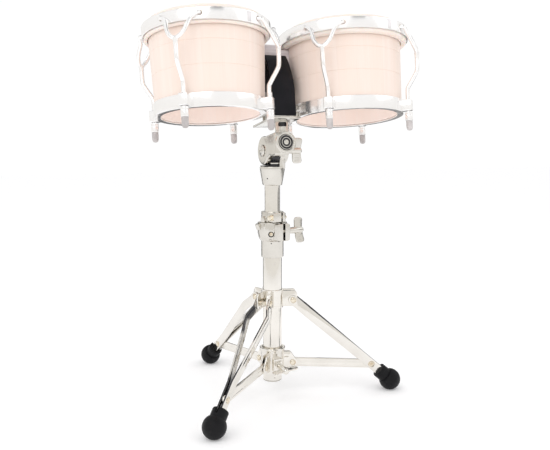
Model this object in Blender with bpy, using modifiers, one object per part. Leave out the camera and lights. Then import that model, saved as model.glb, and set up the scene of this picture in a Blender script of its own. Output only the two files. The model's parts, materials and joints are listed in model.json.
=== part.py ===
"""Bongo drums on a double-braced tripod stand with a tilting block clamp.

Metres, +Z up, +X towards the larger drum, -Y towards the player's front of the stand.
The stand's axis is vertical at (STAND_X, STAND_Y), so the whole object's box is centred
on the origin. Everything above the tilter is modelled in a frame on the tilt axis that
leans back by LEAN, and each moving piece hangs on an empty on its joint's axis.
"""

import math

import bmesh
import bpy
import numpy
from mathutils import Vector

# ---------------------------------------------------------------- driving dimensions

STAND_X = -0.0106           # stand axis, so that the object's box is centred on the origin
STAND_Y = -0.0284
GAP = 0.0003                # between pieces that touch

BOLT_R = 0.0030             # every bolt, stud and rivet shank
HOLE_R = 0.0034             # the holes they pass through

# column
LOWER_TUBE_R = 0.015875     # 1 1/4 inch tube
UPPER_TUBE_R = 0.0127       # 1 inch tube
TUBE_WALL = 0.0015
LOWER_TUBE_Z = (0.0262, 0.2600)
UPPER_TUBE_Z = (0.1450, 0.3770)
SLEEVE_Z = 0.2359           # foot of the height clamp's sleeve
CLAMP_Z = (0.2634, 0.2950)  # the clamp's barrel, with its ears
CLAMP_R = 0.0245
SLEEVE_R = 0.0187
BORE_R = 0.0163             # bore of hub, collar, sleeve and barrel
MEMORY_Z = (0.2953, 0.3126)
MEMORY_R = 0.0185
CLAMP_AZIMUTH = 285.0       # the way the clamp's ears point, degrees
SOCKET_AZIMUTH = 243.0      # the clamp's recessed set screw
TAB_AZIMUTH = 202.0         # the tab on the memory collar

# tripod
LEG_AZIMUTHS = {"right": -16.1, "back": 103.9, "front": 223.9}
HUB_Z = (0.1510, 0.1814)
HUB_PIVOT = (0.0340, 0.1637)      # radius and height of the leg hinges
COLLAR_Z = (0.0371, 0.0821)
COLLAR_PIVOT = (0.0343, 0.0541)   # radius and height of the brace hinges
RING_R = 0.0190                   # outside of the hub's and the collar's rings
FOOT_CENTRE = (0.2051, 0.0173)    # radius and height of a foot's ball
FOOT_BALL_R = 0.0184
FOOT_SOCKET_R = 0.0128
STRAP_WIDTH = 0.0160
STRAP_THICK = 0.0026
BRACE_THICK = 0.0030
BRACE_PIVOT_U = 0.1807            # along the leg, from the hub hinge
WING_AZIMUTH = 270.0              # the collar's wing screw, degrees

# tilter
TILT_Z = 0.4123
LEAN = math.radians(8.45)         # how far the drums lean back at rest
CUP_Z = (0.3559, 0.3868)
CUP_R = (0.0157, 0.0207)
EAR_R = 0.0215
DISC_R = 0.0238
DISC_X = (-0.0175, -0.0085)
EAR_X = (0.0065, 0.0215)
BOSS_R = 0.0175
BOSS_Z = 0.0056
BOSS_Y = (-0.0585, -0.0245)
NECK_R = 0.0105
NECK_Y = -0.0390

# block clamp, in the tilt frame
JAW_X = 0.0020
JAW_WIDTH = 0.0390
FLANGE_Z = (0.0420, 0.0455)
JAW_FRONT_Y = -0.0570
GRIP_Y = -0.0200                  # the front jaw's gripping face
TONGUE_THICK = 0.0134
JAW_TOP_Z = 0.1507
WEDGE_Z = 0.0917                  # underside of the front wedge
JAW_LINE = (                      # the front jaw's outer face, bending back as it rises
    (JAW_FRONT_Y, 0.0400), (JAW_FRONT_Y, 0.0880), (-0.0540, 0.1040), (-0.0475, 0.1210),
    (-0.0390, 0.1370), (-0.0295, 0.1492),
)
JAW_STEEL = 0.0025
JAW_RUBBER = 0.0025
JAW_SCREW_Z = 0.0750

# drums, in the tilt frame
DRUM_Y = -0.0310
DRUM_Z = 0.0490                   # underside of the bottom rings
BAND_LOW = 0.1209                 # lower edge of a tuning band above the drum's foot
BAND_TALL = 0.0175
SHELL_WALL = 0.0080
SHELL_FOOT = 0.0027
SHELL_TOP = BAND_LOW + 0.0240
RING_TALL = 0.0205
STEEL = 0.0022
LUG_ANGLES = (45.0, 135.0, 225.0, 315.0)
LUG_TURN = {"left": 5.5, "right": 2.0}  # added to each drum's lug angles
LUG_OUT = 0.0100                  # lug rods outside the bottom ring's foot
LUG_BULGE = 0.0175                # how far a lug rod swings out above its straight foot
LUG_ROD_R = 0.0034
LUG_HOLE_R = 0.0042
TIP_ARC = 0.0305                  # a fork tip's distance from its lug, along the band
TIP_Z = BAND_LOW + 0.0091
DRUMS = {                         # x, band radius, bottom ring radius, shell's top radius
    "left": (-0.1118, 0.0996, 0.0866, 0.0910),
    "right": (0.1248, 0.1078, 0.0937, 0.0955),
}

ROUND = 32                        # sides of a drum
TURNED = 20                       # sides of a tube or casting
SMALL = 10                        # sides of a bolt

# ---------------------------------------------------------------- scene and materials

for old in list(bpy.data.objects):
    bpy.data.objects.remove(old, do_unlink=True)

parts = bpy.data.collections.new("bongos_on_stand")
tools = bpy.data.collections.new("cutters")
for collection in (parts, tools):
    bpy.context.scene.collection.children.link(collection)


def material(name, colour, roughness, metallic):
    made = bpy.data.materials.new(name)
    made.use_nodes = True
    shader = made.node_tree.nodes["Principled BSDF"]
    shader.inputs["Base Color"].default_value = (*colour, 1.0)
    shader.inputs["Roughness"].default_value = roughness
    shader.inputs["Metallic"].default_value = metallic
    return made


CHROME = material("chrome", (0.80, 0.78, 0.74), 0.12, 1.0)
WHITE_CHROME = material("white_chrome", (0.93, 0.92, 0.90), 0.20, 1.0)
BRASS = material("brass", (0.78, 0.66, 0.42), 0.25, 1.0)
RUBBER = material("rubber", (0.025, 0.025, 0.030), 0.75, 0.0)
NYLON = material("nylon", (0.03, 0.03, 0.03), 0.5, 0.0)
PALE_WOOD = material("pale_wood", (0.90, 0.76, 0.66), 0.45, 0.0)
BLOCK_WOOD = material("block_wood", (0.78, 0.74, 0.75), 0.5, 0.0)
RAWHIDE = material("rawhide", (0.93, 0.86, 0.76), 0.55, 0.0)

# ---------------------------------------------------------------- shapes


def empty(name, location, rotation=(0.0, 0.0, 0.0), parent=None):
    made = bpy.data.objects.new(name, None)
    made.location = location
    made.rotation_euler = rotation
    made.parent = parent
    parts.objects.link(made)
    return made


def as_tool(made, parent):
    """Keep an object as a helper for Booleans only."""
    tools.objects.link(made)
    made.parent = parent
    made.hide_render = True
    made.display_type = "WIRE"
    return made


def as_part(made, name, surface, parent):
    """Make an object one of the model's sub-parts."""
    made.name = name
    made.data.name = name
    parts.objects.link(made)
    made.parent = parent
    made.data.materials.clear()
    made.data.materials.append(surface)
    return made


def from_bmesh(shape):
    bmesh.ops.recalc_face_normals(shape, faces=shape.faces)
    data = bpy.data.meshes.new("shape")
    shape.to_mesh(data)
    shape.free()
    data.shade_smooth()
    data.set_sharp_from_angle(angle=math.radians(40.0))
    return bpy.data.objects.new("shape", data)


def box(low, high):
    """A box from its lowest to its highest corner."""
    low, high = Vector(low), Vector(high)
    shape = bmesh.new()
    bmesh.ops.create_cube(shape, size=1.0)
    bmesh.ops.scale(shape, vec=high - low, verts=shape.verts)
    bmesh.ops.translate(shape, vec=(high + low) / 2.0, verts=shape.verts)
    return from_bmesh(shape)


def rod(start, end, radius, sides=TURNED, end_radius=None):
    """A cylinder, or a cone, from one point to another."""
    start, end = Vector(start), Vector(end)
    run = end - start
    shape = bmesh.new()
    bmesh.ops.create_cone(
        shape, cap_ends=True, segments=sides, radius1=radius,
        radius2=radius if end_radius is None else end_radius, depth=run.length,
    )
    turn = Vector((0.0, 0.0, 1.0)).rotation_difference(run.normalized())
    bmesh.ops.rotate(shape, cent=(0, 0, 0), matrix=turn.to_matrix(), verts=shape.verts)
    bmesh.ops.translate(shape, vec=(start + end) / 2.0, verts=shape.verts)
    return from_bmesh(shape)


def ball(centre, radius):
    shape = bmesh.new()
    bmesh.ops.create_uvsphere(shape, u_segments=20, v_segments=12, radius=radius)
    bmesh.ops.translate(shape, vec=centre, verts=shape.verts)
    return from_bmesh(shape)


def turned(profile, sides=TURNED):
    """A closed profile of (radius, height) points, run down its outer side, turned about Z."""
    shape = bmesh.new()
    points = [shape.verts.new((radius, 0.0, height)) for radius, height in profile]
    on_axis = profile[0][0] == 0.0 and profile[-1][0] == 0.0
    for first, second in zip(points, points[1:] + ([] if on_axis else points[:1])):
        shape.edges.new((first, second))
    data = bpy.data.meshes.new("profile")
    shape.to_mesh(data)
    shape.free()
    made = bpy.data.objects.new("turned", data)
    screw = made.modifiers.new("turn", "SCREW")
    screw.axis = "Z"
    screw.steps = screw.render_steps = sides
    screw.use_merge_vertices = True
    screw.merge_threshold = 0.00001
    screw.use_smooth_shade = True
    return made


def frozen(made):
    """The evaluated mesh of an object as a new, modifier-free object at the same place."""
    bpy.context.scene.collection.objects.link(made)
    bpy.context.view_layer.update()
    data = bpy.data.meshes.new_from_object(
        made.evaluated_get(bpy.context.evaluated_depsgraph_get())
    )
    shape = bmesh.new()
    shape.from_mesh(data)
    bmesh.ops.remove_doubles(shape, verts=shape.verts, dist=0.000001)
    shape.to_mesh(data)
    shape.free()
    data.shade_smooth()
    data.set_sharp_from_angle(angle=math.radians(40.0))
    fresh = bpy.data.objects.new("shape", data)
    fresh.matrix_world = made.matrix_world.copy()
    bpy.data.objects.remove(made)
    return fresh


def arc(centre, radius, start, end, steps):
    """Points on an arc, angles in degrees."""
    turns = [math.radians(start + (end - start) * i / steps) for i in range(steps + 1)]
    return [(centre[0] + radius * math.cos(a), centre[1] + radius * math.sin(a)) for a in turns]


def plate(outline, thickness):
    """A flat outline in XY with a thickness centred on the plane."""
    flat = bpy.data.curves.new("outline", "CURVE")
    flat.dimensions = "2D"
    flat.fill_mode = "BOTH"
    flat.extrude = thickness / 2.0
    line = flat.splines.new("POLY")
    line.points.add(len(outline) - 1)
    for point, (x, y) in zip(line.points, outline):
        point.co = (x, y, 0.0, 1.0)
    line.use_cyclic_u = True
    return frozen(bpy.data.objects.new("outline", flat))


def side_plate(outline, width, x=0.0):
    """An outline of (y, z) points, as wide as asked along X and centred on x."""
    made = plate(outline, width)
    made.rotation_euler = (math.pi / 2.0, 0.0, math.pi / 2.0)
    made.location = (x, 0.0, 0.0)
    return made


def upright_plate(outline, thickness, y=0.0):
    """An outline of (x, z) points with its thickness along Y, centred on y."""
    made = plate(outline, thickness)
    made.rotation_euler = (math.pi / 2.0, 0.0, 0.0)
    made.location = (0.0, y, 0.0)
    return made


def pipe(points, radius, resolution):
    """A round bar through the points."""
    line = bpy.data.curves.new("bar", "CURVE")
    line.dimensions = "3D"
    line.bevel_depth = radius
    line.bevel_resolution = resolution
    line.use_fill_caps = True
    run = line.splines.new("POLY")
    run.points.add(len(points) - 1)
    for point, place in zip(run.points, points):
        point.co = (*place, 1.0)
    return frozen(bpy.data.objects.new("bar", line))


def combine(target, operation, helpers, parent):
    """Union with, or cut by, helpers that live in the same parent frame."""
    for helper in helpers:
        as_tool(helper, parent)
        step = target.modifiers.new(operation.lower(), "BOOLEAN")
        step.operation = operation
        step.object = helper
        step.solver = "EXACT"
    return target


def join(target, helpers, parent):
    return combine(target, "UNION", helpers, parent)


def cut(target, helpers, parent):
    return combine(target, "DIFFERENCE", helpers, parent)


def tube_profile(inner, outer, low, high):
    return [(outer, high), (outer, low), (inner, low), (inner, high)]


def heading(degrees):
    """Outward and sideways unit vectors at an azimuth."""
    a = math.radians(degrees)
    return Vector((math.cos(a), math.sin(a), 0.0)), Vector((-math.sin(a), math.cos(a), 0.0))


# ---------------------------------------------------------------- column

stand = empty("stand_axis", (STAND_X, STAND_Y, 0.0))


def make_lower_column():
    inner = LOWER_TUBE_R - TUBE_WALL
    tube = turned(tube_profile(inner, LOWER_TUBE_R, *LOWER_TUBE_Z))
    as_part(tube, "lower_tube", CHROME, stand)
    low = LOWER_TUBE_Z[0] - GAP
    cap = turned([
        (0.0, low + 0.0090), (inner - GAP, low + 0.0090), (inner - GAP, low),
        (LOWER_TUBE_R, low), (LOWER_TUBE_R - 0.0012, low - 0.0022), (0.0, low - 0.0022),
    ])
    as_part(cap, "tube_end_cap", CHROME, stand)


def make_height_clamp():
    """A sleeve on the lower tube with a split barrel that squeezes the bushing."""
    out, side = heading(CLAMP_AZIMUTH)
    frame = empty("clamp_heading", (0.0, 0.0, 0.0), (0, 0, math.radians(CLAMP_AZIMUTH)), stand)
    low, high = CLAMP_Z
    barrel = turned([
        (CLAMP_R - 0.0010, high), (CLAMP_R, high - 0.0015), (CLAMP_R, low + 0.0160),
        (CLAMP_R - 0.0010, low + 0.0085), (CLAMP_R - 0.0032, low + 0.0030), (SLEEVE_R, low),
        (SLEEVE_R, SLEEVE_Z + 0.001), (SLEEVE_R - 0.001, SLEEVE_Z),
        (BORE_R, SLEEVE_Z), (BORE_R, high),
    ])
    as_part(barrel, "height_clamp", CHROME, frame)
    ears = side_plate(
        [(-0.0126, low + 0.004), (-0.0090, low + 0.001), (0.0090, low + 0.001),
         (0.0126, low + 0.004), (0.0126, high - 0.004), (0.0106, high - 0.001),
         (-0.0106, high - 0.001), (-0.0126, high - 0.004)],
        0.0150, 0.0250)
    lug = rod((-0.0044, -0.0240, high - 0.0120), (-0.0051, -0.0275, high - 0.0022), 0.0040, SMALL)
    join(barrel, [ears, lug], frame)
    bolt_z = (low + high) / 2.0 + 0.0020
    slit = box((0.0120, -0.0018, low - 0.001), (0.0380, 0.0018, high + 0.005))
    hole = rod((0.0262, -0.0098, bolt_z), (0.0262, 0.0200, bolt_z), HOLE_R, SMALL)
    bore = rod((0.0, 0.0, SLEEVE_Z - 0.001), (0.0, 0.0, high + 0.004), BORE_R)
    look, _ = heading(SOCKET_AZIMUTH - CLAMP_AZIMUTH)
    socket_z = Vector((0.0, 0.0, bolt_z - 0.0050))
    socket = rod(look * 0.0200 + socket_z, look * 0.0280 + socket_z, 0.0050, SMALL)
    cut(barrel, [slit, hole, bore, socket], frame)

    bolt = rod((0.0262, -0.0095, bolt_z), (0.0262, 0.0270, bolt_z), BOLT_R, SMALL)
    as_part(bolt, "height_clamp_bolt", CHROME, frame)

    place = out * 0.0262 + side * (0.0126 + GAP)
    spin = empty("height_wing_axis", (place.x, place.y, bolt_z),
                 (-math.pi / 2.0, 0.0, math.radians(CLAMP_AZIMUTH)), stand)
    wing = wing_nut()
    wing.rotation_euler = (0.0, 0.0, math.radians(80.0))
    as_part(wing, "height_wing_nut", CHROME, spin)

    bushing = turned(tube_profile(
        UPPER_TUBE_R + GAP, BORE_R - GAP, LOWER_TUBE_Z[1] + GAP, high))
    as_part(bushing, "clamp_bushing", NYLON, stand)


def wing_nut(stem=0.0):
    """A two-winged nut on +Z with a blind bore, or a wing screw with a stem below it."""
    hub_side = [(0.0, 0.0305), (0.0035, 0.0305), (0.0054, 0.0275), (0.0054, 0.0100), (0.0050, 0.0)]
    if stem:
        below = [(BOLT_R, 0.0), (BOLT_R, -stem), (0.0, -stem)]
    else:
        below = [(HOLE_R, 0.0), (HOLE_R, 0.0150), (0.0, 0.0150)]
    hub = as_part(turned(hub_side + below, SMALL), "wing", CHROME, None)
    blades = []
    for way in (1.0, -1.0):
        blade = [(0.0035, 0.0135), (0.0115, 0.0140), (0.0190, 0.0148), (0.0214, 0.0172),
                 (0.0216, 0.0262), (0.0204, 0.0306), (0.0165, 0.0318), (0.0105, 0.0300),
                 (0.0035, 0.0292)]
        blades.append(upright_plate([(way * x, z) for x, z in blade][::int(way)], 0.0038))
    join(hub, blades, None)
    parts.objects.unlink(hub)
    fresh = frozen(hub)
    for blade in blades:
        bpy.data.objects.remove(blade)
    return fresh


def make_mast():
    """The sliding upper tube with its memory collar and the tilter's cup."""
    inner = UPPER_TUBE_R - TUBE_WALL
    tube = turned(tube_profile(inner, UPPER_TUBE_R, *UPPER_TUBE_Z))
    as_part(tube, "upper_tube", CHROME, stand)

    frame = empty("memory_heading", (0, 0, 0), (0, 0, math.radians(CLAMP_AZIMUTH)), stand)
    low, high = MEMORY_Z
    ring = turned(tube_profile(UPPER_TUBE_R + GAP, MEMORY_R, low, high))
    as_part(ring, "memory_collar", CHROME, frame)
    ears = box((0.0150, -0.0170, low + 0.001), (0.0265, 0.0085, high - 0.001))
    slit = box((0.0110, -0.0014, low - 0.001), (0.0300, 0.0014, high + 0.001))
    bolt_z = (low + high) / 2.0
    hole = rod((0.0222, -0.0200, bolt_z), (0.0222, 0.0120, bolt_z), HOLE_R, SMALL)
    bore = rod((0.0, 0.0, low - 0.002), (0.0, 0.0, high + 0.002), UPPER_TUBE_R + GAP)
    tab_frame = empty("tab_heading", (0, 0, 0), (0, 0, math.radians(TAB_AZIMUTH)), stand)
    tab = side_plate([(-0.0045, low), (0.0045, low), (0.0045, low + 0.0060),
                      (0.0, low + 0.0105), (-0.0045, low + 0.0060)], 0.0070, 0.0190)
    join(ring, [ears], frame)
    join(ring, [tab], tab_frame)
    cut(ring, [slit, hole, bore], frame)
    bolt = rod((0.0222, -0.0178, bolt_z), (0.0222, 0.0105, bolt_z), BOLT_R, SMALL)
    as_part(bolt, "memory_bolt", BRASS, frame)
    collar = rod((0.0222, -0.0195, bolt_z), (0.0222, -0.0173, bolt_z), 0.0056, SMALL)
    head = rod((0.0222, -0.0250, bolt_z), (0.0222, -0.0190, bolt_z), 0.0044, 6)
    join(bolt, [collar, head], frame)


def make_cup():
    """The tilter's lower half: a cup on the upper tube with one ear on the tilt axis."""
    low, high = CUP_Z
    bore = UPPER_TUBE_R + GAP
    cup = turned([
        (0.0, high), (CUP_R[1] - 0.0012, high), (CUP_R[1], high - 0.0015),
        (CUP_R[0] + 0.0006, low + 0.0030), (CUP_R[0] - 0.0008, low), (bore, low),
        (bore, UPPER_TUBE_Z[1] + GAP), (0.0, UPPER_TUBE_Z[1] + GAP),
    ])
    as_part(cup, "tilter_cup", CHROME, stand)
    neck = box((EAR_X[0], -0.0165, high - 0.004), (EAR_X[1] - 0.0045, 0.0165, TILT_Z))
    ear = rod((EAR_X[0], 0.0, TILT_Z), (EAR_X[1], 0.0, TILT_Z), EAR_R)
    spacer = rod((DISC_X[1] + 0.0005, 0.0, TILT_Z), (EAR_X[0] + 0.002, 0.0, TILT_Z), 0.0150)
    join(cup, [neck, ear, spacer], stand)
    hole = rod((-0.0120, 0.0, TILT_Z), (0.0300, 0.0, TILT_Z), HOLE_R, SMALL)
    cut(cup, [hole], stand)


# ---------------------------------------------------------------- tripod


def make_hub_and_collar():
    hub = turned(tube_profile(BORE_R, RING_R, *HUB_Z))
    as_part(hub, "leg_hub", CHROME, stand)
    low, high = COLLAR_Z
    collar = turned([
        (RING_R + 0.0020, high), (RING_R + 0.0028, high - 0.0020), (RING_R + 0.0008, high - 0.0080),
        (RING_R + 0.0004, low), (BORE_R, low), (BORE_R, high)])
    as_part(collar, "brace_collar", CHROME, stand)
    hub_r, hub_z = HUB_PIVOT
    col_r, col_z = COLLAR_PIVOT
    hub_ear = [(0.0152, 0.1530), (0.0400, 0.1530), (0.0412, 0.1545), (0.0412, 0.1740),
               (0.0380, 0.1795), (0.0152, 0.1795)]
    collar_ear = [(0.0170, 0.0420), (col_r, col_z - 0.0085)]
    collar_ear += arc((col_r, col_z), 0.0085, -60.0, 60.0, 4)
    collar_ear += [(0.0330, 0.0700), (0.0300, 0.0730), (0.0170, 0.0730)]
    for name, azimuth in LEG_AZIMUTHS.items():
        frame = empty(f"{name}_heading", (0, 0, 0), (0, 0, math.radians(azimuth)), stand)
        for way in (1.0, -1.0):
            join(hub, [upright_plate(hub_ear, 0.0026, way * 0.0086)], frame)
            join(collar, [upright_plate(collar_ear, 0.0026, way * 0.0033)], frame)
        cut(hub, [rod((hub_r, -0.02, hub_z), (hub_r, 0.02, hub_z), HOLE_R, SMALL)], frame)
        cut(collar, [rod((col_r, -0.02, col_z), (col_r, 0.02, col_z), HOLE_R, SMALL)], frame)
        rivet((hub_r, hub_z), 0.0115 + STRAP_THICK / 2.0 + GAP, f"hub_rivet_{name}", frame)
        rivet((col_r, col_z), 0.0046 + GAP, f"collar_rivet_{name}", frame)
    out, _ = heading(WING_AZIMUTH)
    frame = empty("wing_heading", (0, 0, 0), (0, 0, math.radians(WING_AZIMUTH)), stand)
    wing_z = col_z + 0.0020
    boss = box((0.0175, -0.0080, wing_z - 0.0110), (0.0270, 0.0080, wing_z + 0.0110))
    hole = rod((0.0140, 0.0, wing_z), (0.0290, 0.0, wing_z), HOLE_R, SMALL)
    join(collar, [boss], frame)
    cut(collar, [hole], frame)
    place = out * 0.0330
    spin = empty("collar_wing_axis", (place.x, place.y, wing_z),
                 (0.0, math.pi / 2.0, math.radians(WING_AZIMUTH)), stand)
    wing = wing_nut(stem=0.0165)
    wing.rotation_euler = (0.0, 0.0, math.radians(100.0))
    as_part(wing, "collar_wing_screw", CHROME, spin)


def rivet(pivot, reach, name, frame):
    """A rivet across a leg's plane, with domed heads outside the given reach."""
    dome = 0.0020
    pin = turned([
        (0.0, reach + dome), (0.0034, reach + dome * 0.7), (0.0052, reach), (BOLT_R, reach),
        (BOLT_R, -reach), (0.0052, -reach), (0.0034, -reach - dome * 0.7), (0.0, -reach - dome),
    ], SMALL)
    pin.location = (pivot[0], 0.0, pivot[1])
    pin.rotation_euler = (-math.pi / 2.0, 0.0, 0.0)
    return as_part(pin, name, BRASS, frame)


LEG_RUN = FOOT_CENTRE[0] - HUB_PIVOT[0]
LEG_DROP = HUB_PIVOT[1] - FOOT_CENTRE[1]
LEG_LENGTH = math.hypot(LEG_RUN, LEG_DROP)
LEG_SLOPE = math.atan2(LEG_DROP, LEG_RUN)
BRACE_END = (HUB_PIVOT[0] + BRACE_PIVOT_U * math.cos(LEG_SLOPE),
             HUB_PIVOT[1] - BRACE_PIVOT_U * math.sin(LEG_SLOPE))
BRACE_LENGTH = math.hypot(BRACE_END[0] - COLLAR_PIVOT[0], BRACE_END[1] - COLLAR_PIVOT[1])
BRACE_SLOPE = math.atan2(COLLAR_PIVOT[1] - BRACE_END[1], BRACE_END[0] - COLLAR_PIVOT[0])
STRAP_END = LEG_LENGTH - 0.0130
STRAP_LINE = [(-0.0081, 0.0115), (0.0120, 0.0115), (0.0300, 0.0180), (0.1540, 0.0033),
              (STRAP_END, 0.0033)]


def strap(way):
    """One bent leg strap, on the +Y side for way 1 and mirrored for -1."""
    half = STRAP_THICK / 2.0
    outer = [(u, way * (w + half)) for u, w in STRAP_LINE]
    inner = [(u, way * (w - half)) for u, w in STRAP_LINE]
    band = plate((inner + outer[::-1])[::int(way)], STRAP_WIDTH)
    return band


def make_legs():
    round_end = STRAP_WIDTH / 2.0
    for name, azimuth in LEG_AZIMUTHS.items():
        out, _ = heading(azimuth)
        hinge = empty(f"leg_{name}_axis", (*(out * HUB_PIVOT[0]).xy, HUB_PIVOT[1]),
                      (0.0, LEG_SLOPE, math.radians(azimuth)), stand)
        for label, way in (("a", 1.0), ("b", -1.0)):
            band = as_part(strap(way), f"leg_{name}_strap_{label}", CHROME, hinge)
            shape = upright_plate(
                arc((0.0, 0.0), round_end, 90.0, 270.0, 8)
                + [(STRAP_END + 0.01, -round_end - 0.001), (STRAP_END + 0.01, round_end + 0.001)],
                0.06)
            combine(band, "INTERSECT", [shape], hinge)
            head = rod((BRACE_PIVOT_U, way * 0.0040, 0.0), (BRACE_PIVOT_U, way * 0.0065, 0.0),
                       0.0054, SMALL, 0.0038)
            join(band, [head], hinge)
            cut(band, [rod((0, -0.03, 0), (0, 0.03, 0), HOLE_R, SMALL)], hinge)
        foot = as_part(ball((LEG_LENGTH, 0.0, 0.0), FOOT_BALL_R), f"foot_{name}", RUBBER, hinge)
        start = LEG_LENGTH - 0.0270
        socket = rod((start, 0, 0), (LEG_LENGTH, 0, 0), FOOT_SOCKET_R, 20)
        join(foot, [socket], hinge)
        slot = box((start - 0.01, -0.0050, -round_end - GAP),
                   (STRAP_END + GAP, 0.0050, round_end + GAP))
        notch = box((start - 0.01, -0.0022, 0.0), (start + 0.0105, 0.0022, 0.0140))
        cut(foot, [slot, notch], hinge)
        cut(foot, [box((-0.5, -0.5, -0.05), (0.5, 0.5, 0.0))], None)


def make_braces():
    for name, azimuth in LEG_AZIMUTHS.items():
        out, _ = heading(azimuth)
        hinge = empty(f"brace_{name}_axis", (*(out * COLLAR_PIVOT[0]).xy, COLLAR_PIVOT[1]),
                      (0.0, BRACE_SLOPE, math.radians(azimuth)), stand)
        end = 0.0076
        outline = arc((0.0, 0.0), end, 90.0, 270.0, 8)
        outline += arc((BRACE_LENGTH, 0.0), end, -90.0, 90.0, 8)
        brace = as_part(upright_plate(outline, BRACE_THICK), f"brace_{name}", CHROME, hinge)
        for u in (0.0, BRACE_LENGTH):
            cut(brace, [rod((u, -0.01, 0), (u, 0.01, 0), HOLE_R, SMALL)], hinge)


# ---------------------------------------------------------------- tilter and clamp

tilt = empty("tilt_axis", (0.0, 0.0, TILT_Z), (-LEAN, 0.0, 0.0), stand)


def make_tilter_arm():
    arm = rod((DISC_X[0], 0, 0), (DISC_X[1], 0, 0), DISC_R)
    as_part(arm, "tilter_arm", CHROME, tilt)
    web = side_plate([(-0.0400, BOSS_Z - 0.0150), (0.0, -DISC_R + 0.0060), (0.0, DISC_R - 0.0015),
                      (-0.0400, BOSS_Z + 0.0165)],
                     DISC_X[1] - DISC_X[0] - 0.0004, sum(DISC_X) / 2.0)
    boss = rod((JAW_X - 0.0010, BOSS_Y[0], BOSS_Z), (JAW_X - 0.0010, BOSS_Y[1], BOSS_Z), BOSS_R)
    join(arm, [web, boss], tilt)
    hole = rod((-0.0200, 0, 0), (-0.0060, 0, 0), HOLE_R, SMALL)
    pocket = rod((JAW_X, NECK_Y, 0.0180), (JAW_X, NECK_Y, 0.0300), NECK_R + GAP)
    badge = rod((JAW_X - 0.001, BOSS_Y[0] - 0.001, BOSS_Z),
                (JAW_X - 0.001, BOSS_Y[0] + 0.0012, BOSS_Z), 0.0128)
    cut(arm, [hole, pocket, badge], tilt)

    bolt = turned([(0.0, 0.0212), (0.0060, 0.0208), (0.0100, 0.0190), (0.0100, -DISC_X[0] + GAP),
                   (BOLT_R, -DISC_X[0] + GAP), (BOLT_R, -0.0360), (0.0, -0.0360)], SMALL)
    bolt.rotation_euler = (0.0, -math.pi / 2.0, 0.0)
    as_part(bolt, "tilt_bolt", CHROME, tilt)
    spin = empty("tilt_wing_axis", (EAR_X[1] + GAP, 0.0, 0.0), (0.0, math.pi / 2.0, 0.0), tilt)
    wing = wing_nut()
    wing.rotation_euler = (0.0, 0.0, math.radians(12.0))
    as_part(wing, "tilt_wing_nut", CHROME, spin)


def jaw_line(shift, low, high):
    """The front jaw's outer face between two heights, moved back by shift."""
    ys, zs = zip(*JAW_LINE)
    heights = [low] + [z for z in zs if low + 0.0005 < z < high - 0.0005] + [high]
    return [(float(numpy.interp(z, zs, ys)) + shift, z) for z in heights]


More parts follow.
